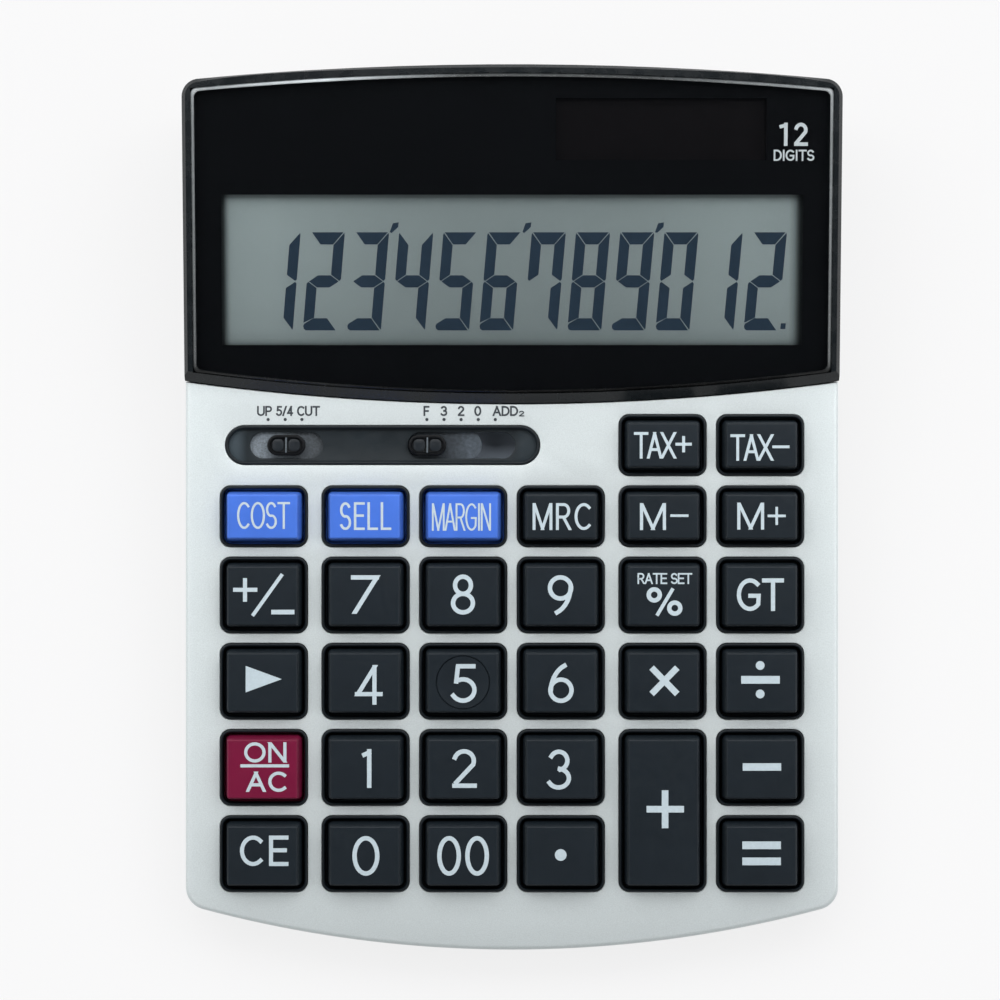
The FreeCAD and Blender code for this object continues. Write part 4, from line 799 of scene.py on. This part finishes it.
def window_outline(inset):
    """The window from above: its front edge follows the seam, and its rear edge the hood's."""
    margin = HOOD_RIM + WINDOW_PLAY
    side = CASE_WIDTH / 2 - margin - inset
    r = WINDOW_CORNER
    corner_x = side - r
    front_centre = WINDOW_PLAY + inset + SEAM_BOW
    front_reach = SEAM_BOW - r
    front_v = front_centre - math.sqrt(front_reach ** 2 - corner_x ** 2)
    swing = math.degrees(math.asin(corner_x / front_reach))
    rear_bow = REAR_BOW - margin
    rear_centre = (CASE_LENGTH - HOOD_V) / math.cos(HOOD_SLOPE) - margin - inset - rear_bow
    rear_reach = rear_bow - r
    rear_v = rear_centre + math.sqrt(rear_reach ** 2 - corner_x ** 2)
    rear_swing = math.degrees(math.asin(corner_x / rear_reach))
    points = arc_points(0, front_centre, SEAM_BOW, 270 - swing, 270 + swing, 40)[:-1]
    points += arc_points(corner_x, front_v, r, 270 + swing, 360, 8)
    points += arc_points(corner_x, rear_v, r, 0, 90 - rear_swing, 8)
    points += arc_points(0, rear_centre, rear_bow, 90 - rear_swing, 90 + rear_swing, 40)[1:-1]
    points += arc_points(-corner_x, rear_v, r, 90 + rear_swing, 180, 8)
    points += arc_points(-corner_x, front_v, r, 180, 270 - swing, 8)[:-1]
    return points


def make_window():
    mesh = bmesh.new()
    loft(mesh, window_outline, [(0, WINDOW_UNDER), (0, -0.5), (0.45, -0.05), (0.52, -0.01), (0.62, 0.0)])
    piece("clear_window", mesh, hood_plane, "case", clear.material, "window", "display_window")


def make_window_edge():
    """The polished bevel round the window, a hair outside it, coloured pale as a painted highlight."""
    mesh = bmesh.new()
    tube(mesh, window_outline, [(-0.04, -0.62), (-0.04, -0.42), (0.42, -0.02), (0.74, 0.005), (0.74, -0.03),
                                (0.4, -0.12), (0.05, -0.62)])
    piece("window_edge", mesh, hood_plane, "case", lens_edge_highlight.material, "window")


make_window()
make_window_edge()


# Lettering: strokes in a box one unit wide and high

def arc(x, y, rx, ry, start, end, steps=18):
    angles = [math.radians(start + (end - start) * i / steps) for i in range(steps + 1)]
    return [(x + rx * math.cos(a), y + ry * math.sin(a)) for a in angles]


STROKES = {
    "0": [arc(0.5, 0.5, 0.5, 0.5, 90, 450, 36)],
    "1": [[(1, 1), (1, 0)], [(0.2, 0.9), (0.95, 0.96)]],
    "2": [arc(0.48, 0.72, 0.48, 0.28, 160, -22) + [(0.1, 0.1)], [(0, 0), (1, 0)]],
    "3": [arc(0.46, 0.75, 0.46, 0.25, 150, -80, 16), arc(0.44, 0.26, 0.56, 0.26, 82, -150, 18)],
    "4": [[(0, 0.24), (1, 0.24)], [(0.74, 1), (0.74, 0)], [(0.04, 0.24), (0.74, 1)]],
    "5": [[(0.95, 1), (0.22, 1), (0.14, 0.56)], arc(0.46, 0.31, 0.54, 0.31, 114, -148)],
    "6": [arc(0.5, 0.3, 0.5, 0.3, 90, 450, 30), arc(1.05, 0.25, 1.03, 0.8, 176, 112, 10)],
    "7": [[(0, 1), (1, 1)], [(0.1, 0), (1, 1)]],
    "8": [arc(0.5, 0.76, 0.4, 0.24, 90, 450, 26), arc(0.5, 0.26, 0.5, 0.26, 90, 450, 30)],
    "9": [arc(0.5, 0.7, 0.5, 0.3, 90, 450, 30), arc(-0.05, 0.75, 1.03, 0.8, -4, -68, 10)],
    "A": [[(0, 0), (0.5, 1)], [(0.5, 1), (1, 0)], [(0.22, 0.32), (0.78, 0.32)]],
    "C": [arc(0.56, 0.5, 0.56, 0.5, 48, 312, 24)],
    "D": [[(0.3, 1), (0, 1), (0, 0), (0.3, 0)] + arc(0.35, 0.5, 0.65, 0.5, -90, 90, 18) + [(0.3, 1)]],
    "E": [[(1, 1), (0, 1), (0, 0), (1, 0)], [(0, 0.52), (0.9, 0.52)]],
    "F": [[(1, 1), (0, 1), (0, 0)], [(0, 0.5), (0.85, 0.5)]],
    "G": [arc(0.54, 0.5, 0.54, 0.5, 48, 318, 24) + [(0.96, 0.46), (0.56, 0.46)]],
    "I": [[(0.5, 0), (0.5, 1)]],
    "L": [[(0, 1), (0, 0), (1, 0)]],
    "M": [[(0, 0), (0, 1)], [(0.03, 1), (0.5, 0)], [(0.5, 0), (0.97, 1)], [(1, 1), (1, 0)]],
    "N": [[(0, 0), (0, 1)], [(0.05, 1), (0.95, 0)], [(1, 0), (1, 1)]],
    "O": [arc(0.5, 0.5, 0.5, 0.5, 90, 450, 32)],
    "P": [[(0, 0), (0, 1), (0.5, 1)] + arc(0.55, 0.73, 0.42, 0.27, 90, -90, 12) + [(0.1, 0.46)]],
    "R": [[(0, 0), (0, 1), (0.5, 1)] + arc(0.52, 0.74, 0.42, 0.26, 90, -90, 12) + [(0.1, 0.48)],
          [(0.5, 0.48), (1, 0)]],
    "S": [arc(0.5, 0.74, 0.46, 0.26, 32, 262, 16) + arc(0.5, 0.25, 0.5, 0.25, 82, -152, 16)],
    "T": [[(0, 1), (1, 1)], [(0.5, 1), (0.5, 0)]],
    "U": [[(0, 1), (0, 0.32)] + arc(0.5, 0.32, 0.5, 0.32, 180, 360, 16) + [(1, 1)]],
    "X": [[(0, 0), (1, 1)], [(0, 1), (1, 0)]],
    "+": [[(0, 0.5), (1, 0.5)], [(0.5, 0), (0.5, 1)]],
    "-": [[(0, 0.5), (1, 0.5)]],
    "/": [[(0, 0), (1, 1)]],
}
WIDTHS = {
    " ": 0.3, "1": 0.45, "I": 0.2, "M": 1.2, "O": 1.12, "G": 1.1, "C": 1.0, "T": 0.95, "E": 0.78, "L": 0.75,
    "F": 0.72, "X": 1.0, "+": 1.0, "-": 1.0, "/": 0.5, "A": 1.0, "R": 0.86, "S": 0.84, "U": 0.95, "N": 0.92,
    "D": 0.95, "P": 0.82,
}
USUAL_WIDTH = 0.8


def is_closed(points):
    return math.dist(points[0], points[-1]) < 1e-6


def drawn_out(points, more):
    """The same line with both ends moved outwards, unless it is closed."""
    if is_closed(points):
        return points
    ends = []
    for end, before in ((points[0], points[1]), (points[-1], points[-2])):
        share = more / math.dist(end, before)
        ends.append((end[0] + (end[0] - before[0]) * share, end[1] + (end[1] - before[1]) * share))
    return [ends[0]] + points[1:-1] + [ends[1]]


PRINT_DEPTH = 0.03
PRINT_STEP = 0.002
SHARPEST = 0.42
STEEP = 0.6
DISC_STEPS = 32
GAP_OF_LETTERS = 0.34


class Print:
    """Print on a surface: ribbons, discs and letters, each a hair higher than the one before it."""

    def __init__(self, height_at):
        self.mesh = bmesh.new()
        self.height_at = height_at
        self.top = PRINT_DEPTH

    def at(self, x, y, raised):
        return self.mesh.verts.new((x, y, self.height_at(x, y) + (self.top if raised else -PRINT_DEPTH)))

    def across(self, left, right):
        """The four corners of a ribbon's section."""
        return [self.at(*left, False), self.at(*right, False), self.at(*right, True), self.at(*left, True)]

    def ribbon(self, rings):
        skin(self.mesh, rings)
        self.mesh.faces.new(rings[0])
        self.mesh.faces.new(list(reversed(rings[-1])))
        self.top += PRINT_STEP

    def stroke(self, points, width):
        """A flat ribbon along the points."""
        closed = is_closed(points)
        count = len(points)
        rings = []
        for i, (x, y) in enumerate(points):
            before = points[i - 1] if i > 0 else (points[-2] if closed else None)
            after = points[i + 1] if i < count - 1 else (points[1] if closed else None)
            directions = []
            for start, end in ((before, (x, y)), ((x, y), after)):
                if start is not None and end is not None and math.dist(start, end) > 1e-9:
                    gap = math.dist(start, end)
                    directions.append(((end[0] - start[0]) / gap, (end[1] - start[1]) / gap))
            along_x = sum(d[0] for d in directions)
            along_y = sum(d[1] for d in directions)
            size = math.hypot(along_x, along_y)
            along_x, along_y = (along_x / size, along_y / size) if size > 1e-6 else directions[0]
            half = width / 2 / max(along_x * directions[0][0] + along_y * directions[0][1], SHARPEST)
            rings.append(self.across((x - along_y * half, y + along_x * half),
                                     (x + along_y * half, y - along_x * half)))
        self.ribbon(rings)

    def slant(self, start, end, width):
        """A straight stroke whose ends are cut level, as a letter's slanted stroke is."""
        rise = end[1] - start[1]
        half = width / 2 * math.dist(start, end) / abs(rise)
        more = width / 2 / rise
        run = end[0] - start[0]
        sides = [(start[0] - run * abs(more), start[1] - math.copysign(width / 2, rise)),
                 (end[0] + run * abs(more), end[1] + math.copysign(width / 2, rise))]
        self.ribbon([self.across((x - half, y), (x + half, y)) for x, y in sides])

    def disc(self, x, y, radius, hole=0.0):
        angles = [math.tau * i / DISC_STEPS for i in range(DISC_STEPS)]
        turn = [(math.cos(a), math.sin(a)) for a in angles]

        def circle(r, raised):
            return [self.at(x + r * c, y + r * s, raised) for c, s in turn]

        outer = [circle(radius, False), circle(radius, True)]
        if hole:
            skin(self.mesh, outer + [circle(hole, True), circle(hole, False)], closed=True)
        else:
            skin(self.mesh, outer)
            self.mesh.faces.new(outer[0])
            self.mesh.faces.new(outer[1])
        self.top += PRINT_STEP

    def write(self, text, x, y, width, height, thickness, gap=GAP_OF_LETTERS):
        """Text whose outer size is width by height, about the point x, y."""
        inner_w = width - thickness
        inner_h = height - thickness
        units = [WIDTHS.get(c, USUAL_WIDTH) for c in text]
        unit = inner_w / (sum(units) + gap * (len(text) - 1))
        left = x - inner_w / 2
        for letter, share in zip(text, units):
            for points in STROKES.get(letter, []):
                placed = [(left + px * share * unit, y - inner_h / 2 + py * inner_h) for px, py in points]
                run, rise = (abs(placed[-1][i] - placed[0][i]) for i in (0, 1))
                if len(placed) == 2 and rise > run * STEEP > 0.001:
                    self.slant(*placed, thickness)
                else:
                    self.stroke(drawn_out(placed, thickness / 2), thickness)
            left += (share + gap) * unit


# What stands on each key, measured from its middle: text with its width, height and stroke, lines with their
# points and stroke, and dots with their radius and the radius of their hole

LEGENDS = {
    "key_7": [("7", 0.02, 0.28, 6.35, 8.75, 1.0)],
    "key_8": [("8", 0.0, 0.28, 5.5, 9.1, 1.0)],
    "key_9": [("9", -0.15, 0.17, 5.8, 9.0, 1.0)],
    "key_4": [("4", 0.9, -0.55, 6.3, 9.0, 0.95)],
    "key_5": [("5", 0.2, -0.25, 5.8, 8.8, 1.0)],
    "key_6": [("6", -0.05, -0.15, 5.8, 9.0, 1.0)],
    "key_1": [("1", 0.3, 0.15, 2.4, 8.8, 1.0)],
    "key_2": [("2", 0.35, 0.15, 5.6, 8.8, 1.0)],
    "key_3": [("3", -0.35, -0.1, 5.2, 9.1, 1.0)],
    "key_0": [("0", 0.25, 0.0, 6.15, 9.0, 1.0)],
    "key_00": [("0", -3.15, 0.0, 5.4, 9.0, 1.0), ("0", 3.2, 0.0, 5.4, 9.0, 1.0)],
    "key_clear_entry": [("CE", 0.4, 1.15, 11.0, 6.9, 0.92)],
    "key_grand_total": [("GT", -0.3, 0.25, 10.7, 7.4, 0.95)],
    "key_tax_plus": [("TAX", -1.95, -0.1, 9.5, 6.0, 0.64), ("+", 4.55, 0.15, 3.7, 3.7, 0.66)],
    "key_tax_minus": [("TAX", -2.25, -0.6, 9.7, 6.0, 0.64), ("-", 4.35, -0.45, 3.9, 3.9, 0.62)],
    "key_memory_recall": [("MRC", 0.2, 0.0, 13.35, 6.1, 0.66)],
    "key_memory_minus": [("M", -2.4, 0.0, 5.9, 6.1, 0.72), ("-", 3.6, 0.2, 4.1, 4.1, 0.58)],
    "key_memory_plus": [("M", -2.5, 0.1, 6.1, 6.1, 0.72), ("+", 3.4, 0.15, 4.1, 4.1, 0.58)],
    "key_cost": [("COST", 0.25, 0.25, 12.0, 6.1, 0.5)],
    "key_sell": [("SELL", 0.15, 0.1, 11.7, 6.3, 0.56)],
    "key_margin": [("MARGIN", -0.35, -0.1, 13.4, 6.2, 0.42)],
    "key_on_clear": [("ON", 0.65, 3.8, 9.6, 4.6, 0.72), ("AC", 1.0, -2.85, 9.2, 4.6, 0.72)],
    "key_rate_set": [("RATE SET", 0.3, 3.9, 12.4, 2.5, 0.36)],
}
GAPS = {
    "TAX": 0.13, "MARGIN": 0.2, "MRC": 0.46, "COST": 0.26, "SELL": 0.48, "ON": 0.36, "AC": 0.38, "CE": 0.47,
    "GT": 0.25, "RATE SET": 0.24,
}
LINES = {
    "key_sign": [([(-6.65, 1.35), (-1.15, 1.35)], 0.92), ([(-3.95, -1.35), (-3.95, 4.0)], 0.92),
                 ([(-2.25, -4.55), (4.5, 4.9)], 0.82), ([(2.0, -3.7), (7.25, -3.7)], 1.05)],
    "key_on_clear": [([(-5.0, 0.75), (6.05, 0.75)], 0.7)],
    "key_rate_set": [([(-1.5, -4.5), (2.15, 1.65)], 0.8)],
    "key_times": [([(-2.7, -2.6), (3.1, 3.35)], 1.42), ([(-2.7, 3.35), (3.1, -2.6)], 1.42)],
    "key_divide": [([(-4.65, 0.6), (4.1, 0.6)], 1.75)],
    "key_minus": [([(-4.3, 0.5), (4.4, 0.5)], 1.7)],
    "key_plus": [([(-3.85, 0.75), (4.65, 0.75)], 1.5), ([(0.35, -3.55), (0.35, 5.05)], 1.5)],
    "key_equals": [([(-4.4, 2.4), (4.35, 2.4)], 1.75), ([(-4.4, -1.25), (4.35, -1.25)], 1.75)],
}
DOTS = {
    "key_point": [(-0.1, 0.2, 1.33, 0)],
    "key_divide": [(-0.35, 3.85, 1.0, 0), (-0.35, -2.6, 1.0, 0)],
    "key_rate_set": [(-2.1, 0.2, 1.75, 0.75), (2.55, -2.8, 1.75, 0.75)],
}
ARROW = [(-3.8, 3.75), (4.4, 0.75), (-3.8, -2.25)]


def make_legend(name):
    x, v, length = places[name]
    legend = Print(lambda px, py: key_surface(name, px, py))
    for words, dx, dv, width, height, thickness in LEGENDS.get(name, []):
        legend.write(words, dx, dv, width, height, thickness, GAPS.get(words, GAP_OF_LETTERS))
    for points, thickness in LINES.get(name, []):
        legend.stroke(points, thickness)
    for dx, dv, radius, hole in DOTS.get(name, []):
        legend.disc(dx, dv, radius, hole)
    if name == "key_shift_right":
        loft(legend.mesh, lambda inset: ARROW, [(0, KEY_TOP - PRINT_DEPTH), (0, KEY_TOP + PRINT_DEPTH)])
    piece("legend_" + name[4:], legend.mesh, deck_plane @ Matrix.Translation((x, v, 0)), name,
          white_print.material, "key_black")


for name in places:
    make_legend(name)


# Lettering printed on the silver case over the switches, and behind the window

LABEL_V = 123.0
LABEL_HEIGHT = 2.3
LABEL_STROKE = 0.4
LABELS = [
    ("UP", -56.4, 3.45), ("5/4", -51.85, 3.9), ("CUT", -46.4, 5.25), ("F", -19.5, 1.35), ("3", -15.5, 1.5),
    ("2", -11.6, 1.5), ("0", -7.8, 1.6), ("ADD", -1.5, 5.8),
]
MARKS = [-55.6, -51.7, -47.9, -19.4, -15.5, -11.6, -7.7, -3.8]
MARK_V = 121.05
MARK_RADIUS = 0.36
LAST_LABEL = ("2", 2.2, 122.4, 1.2, 1.3, 0.26)
DIGIT_COUNT = [
    ("1", 61.2, 58.55, 2.1, 5.2, 0.8, GAP_OF_LETTERS), ("2", 65.3, 58.55, 3.1, 5.2, 0.8, GAP_OF_LETTERS),
    ("DIGITS", 63.75, 53.85, 9.2, 2.5, 0.38, 0.3),
]
MASK_FACE = -1.765


def make_switch_labels():
    labels = Print(lambda x, y: 0.0)
    for words, x, width in LABELS:
        labels.write(words, x, LABEL_V, width, LABEL_HEIGHT, LABEL_STROKE)
    labels.write(*LAST_LABEL)
    for x in MARKS:
        labels.disc(x, MARK_V, MARK_RADIUS)
    piece("switch_labels", labels.mesh, deck_plane, "case", dark_print.material, "silver_shell")


def make_digit_count_label():
    count = Print(lambda x, y: MASK_FACE)
    for line in DIGIT_COUNT:
        count.write(*line)
    piece("digit_count_label", count.mesh, hood_plane, "case", grey_print.material, "mask_print")


make_switch_labels()
make_digit_count_label()


# The number on the display

SEGMENTS = {
    "0": "abcdef", "1": "bc", "2": "abged", "3": "abgcd", "4": "fgbc", "5": "afgcd", "6": "afgedc",
    "7": "fabc", "8": "abcdefg", "9": "abcdfg",
}
NUMBER = "123456789012"
DIGIT_WIDTH = 7.75
DIGIT_HEIGHT = 22.25
UPRIGHT = 2.35
LEVEL = 2.75
GAP = 0.14
SLANT = math.tan(math.radians(5))
DIGIT_PITCH = 10.05
DIGIT_X = -57.75
DIGIT_W = 14.3
LCD_FACE = -3.42
INK_DEPTH = 0.02
INK_RISE = 0.05
COMMA_PLACES = (3, 6, 9)
COMMA = [(-2.15, 22.3), (-1.7, 22.1), (-0.35, 23.4), (-0.3, 24.5), (-1.6, 24.3)]
POINT_PLACE = 12
POINT = [(-1.7, 0.3), (-0.55, 0.3), (-0.55, 1.6), (-1.7, 1.6)]


def segment_shapes():
    """The seven bars of a digit, measured from the corner of its box. Slanted hairline gaps part them."""
    w, h = DIGIT_WIDTH, DIGIT_HEIGHT
    m = h / 2
    nip = GAP * 0.7
    near, far = UPRIGHT + nip, w - UPRIGHT - nip
    left = [(0, m + 0.5), (0, h - 0.6), (nip, h - GAP), (UPRIGHT, h - LEVEL - GAP),
            (UPRIGHT, m + LEVEL / 2 + GAP), (0.35, m + nip)]
    return {
        "a": [(nip + 0.2, h), (w - nip - 0.2, h), (far, h - LEVEL), (near, h - LEVEL)],
        "b": [(w - x, y) for x, y in left],
        "c": [(w - x, h - y) for x, y in left],
        "d": [(0, 1), (0.2, 0.35), (0.7, 0), (w - nip - 0.2, 0), (far, LEVEL), (UPRIGHT - 0.2, LEVEL),
              (0.2, 1.5)],
        "e": [(0, m - 0.5), (0, 1.75), (UPRIGHT, LEVEL + GAP), (UPRIGHT, m - LEVEL / 2 - GAP),
              (0.35, m - nip)],
        "f": left,
        "g": [(0.5, m), (near, m - LEVEL / 2), (far, m - LEVEL / 2), (w - 0.5, m), (far, m + LEVEL / 2),
              (near, m + LEVEL / 2)],
    }


def make_digits():
    mesh = bmesh.new()
    shapes = segment_shapes()

    def plate(corners, place):
        x = DIGIT_X + DIGIT_PITCH * place
        placed = [(x + px + py * SLANT, DIGIT_W + py) for px, py in corners]
        loft(mesh, lambda inset: placed, [(0, LCD_FACE - INK_DEPTH), (0, LCD_FACE + INK_RISE)])

    for place, digit in enumerate(NUMBER):
        for segment in SEGMENTS[digit]:
            plate(shapes[segment], place)
    for place in COMMA_PLACES:
        plate(COMMA, place)
    plate(POINT, POINT_PLACE)
    piece("display_digits", mesh, hood_plane, "case", segment_ink.material, "lcd_glass")


make_digits()


# Floor, light and camera, in metres

FLOOR_REACH = 6.0
AIM = Vector((0, 0, 0.01))
LIGHTS = [
    ("soft_left", (-0.85, 0.1, 0.8), (0.9, 0.9), 2.7),
    ("soft_right", (0.85, 0.1, 0.8), (0.9, 0.9), 3.6),
    ("soft_rear", (0.0, 0.28, 0.36), (0.9, 0.35), 2.75),
]
SKY = [(0.0, (1, 1, 1, 1)), (0.88, (0.85, 0.86, 0.88, 1)), (0.95, (0.02, 0.02, 0.025, 1))]
SKY_STRENGTH = 0.45
CAMERA_HEIGHT = 600.0
CAMERA_X = -2.736
CAMERA_V = 102.7
VIEW_WIDTH = 228.0
SENSOR_WIDTH = 36.0


def make_floor():
    mesh = bmesh.new()
    bmesh.ops.create_grid(mesh, x_segments=1, y_segments=1, size=FLOOR_REACH)
    data = bpy.data.meshes.new("floor")
    mesh.to_mesh(data)
    mesh.free()
    floor = bpy.data.objects.new("floor", data)
    scene.collection.objects.link(floor)
    pale = look("floor_paper", (100, 100, 101), Roughness=0.9, Emission_Color=(1, 1, 1, 1),
                Emission_Strength=0.8)
    pale.mottle(3, 0.005).shaded("Y", (-0.12, 1.0), (0.12, 0.72))
    data.materials.append(pale.material)


def add_light(name, place, size, power):
    """A soft box, aimed at the object, that the camera doesn't see."""
    data = bpy.data.lights.new(name, "AREA")
    data.shape = "RECTANGLE"
    data.size, data.size_y = size
    data.energy = power
    light = bpy.data.objects.new(name, data)
    light.location = place
    light.rotation_euler = (AIM - Vector(place)).to_track_quat("-Z", "Y").to_euler()
    light.visible_camera = False
    scene.collection.objects.link(light)


def make_sky():
    """A bright studio that is dark only straight above, so that the flat black faces stay black."""
    world = bpy.data.worlds.new("studio")
    scene.world = world
    world.use_nodes = True
    tree = world.node_tree
    coordinates = tree.nodes.new("ShaderNodeTexCoord")
    split = tree.nodes.new("ShaderNodeSeparateXYZ")
    ramp = tree.nodes.new("ShaderNodeValToRGB")
    stops = ramp.color_ramp.elements
    stops[0].position, stops[0].color = SKY[0]
    stops[1].position, stops[1].color = SKY[-1]
    stops.new(SKY[1][0]).color = SKY[1][1]
    backdrop = tree.nodes["Background"]
    backdrop.inputs["Strength"].default_value = SKY_STRENGTH
    tree.links.new(coordinates.outputs["Generated"], split.inputs["Vector"])
    tree.links.new(split.outputs["Z"], ramp.inputs["Fac"])
    tree.links.new(ramp.outputs["Color"], backdrop.inputs["Color"])


def add_camera():
    """It looks square on to the keyboard, as the photograph does."""
    data = bpy.data.cameras.new("camera")
    data.sensor_width = SENSOR_WIDTH
    data.lens = SENSOR_WIDTH * CAMERA_HEIGHT / VIEW_WIDTH
    data.clip_start = 0.01
    camera = bpy.data.objects.new("camera", data)
    camera.location = deck_plane @ Vector((CAMERA_X, CAMERA_V, CAMERA_HEIGHT))
    camera.rotation_euler = (DECK_SLOPE, 0, 0)
    scene.collection.objects.link(camera)
    scene.camera = camera


make_floor()
for light in LIGHTS:
    add_light(*light)
make_sky()
add_camera()
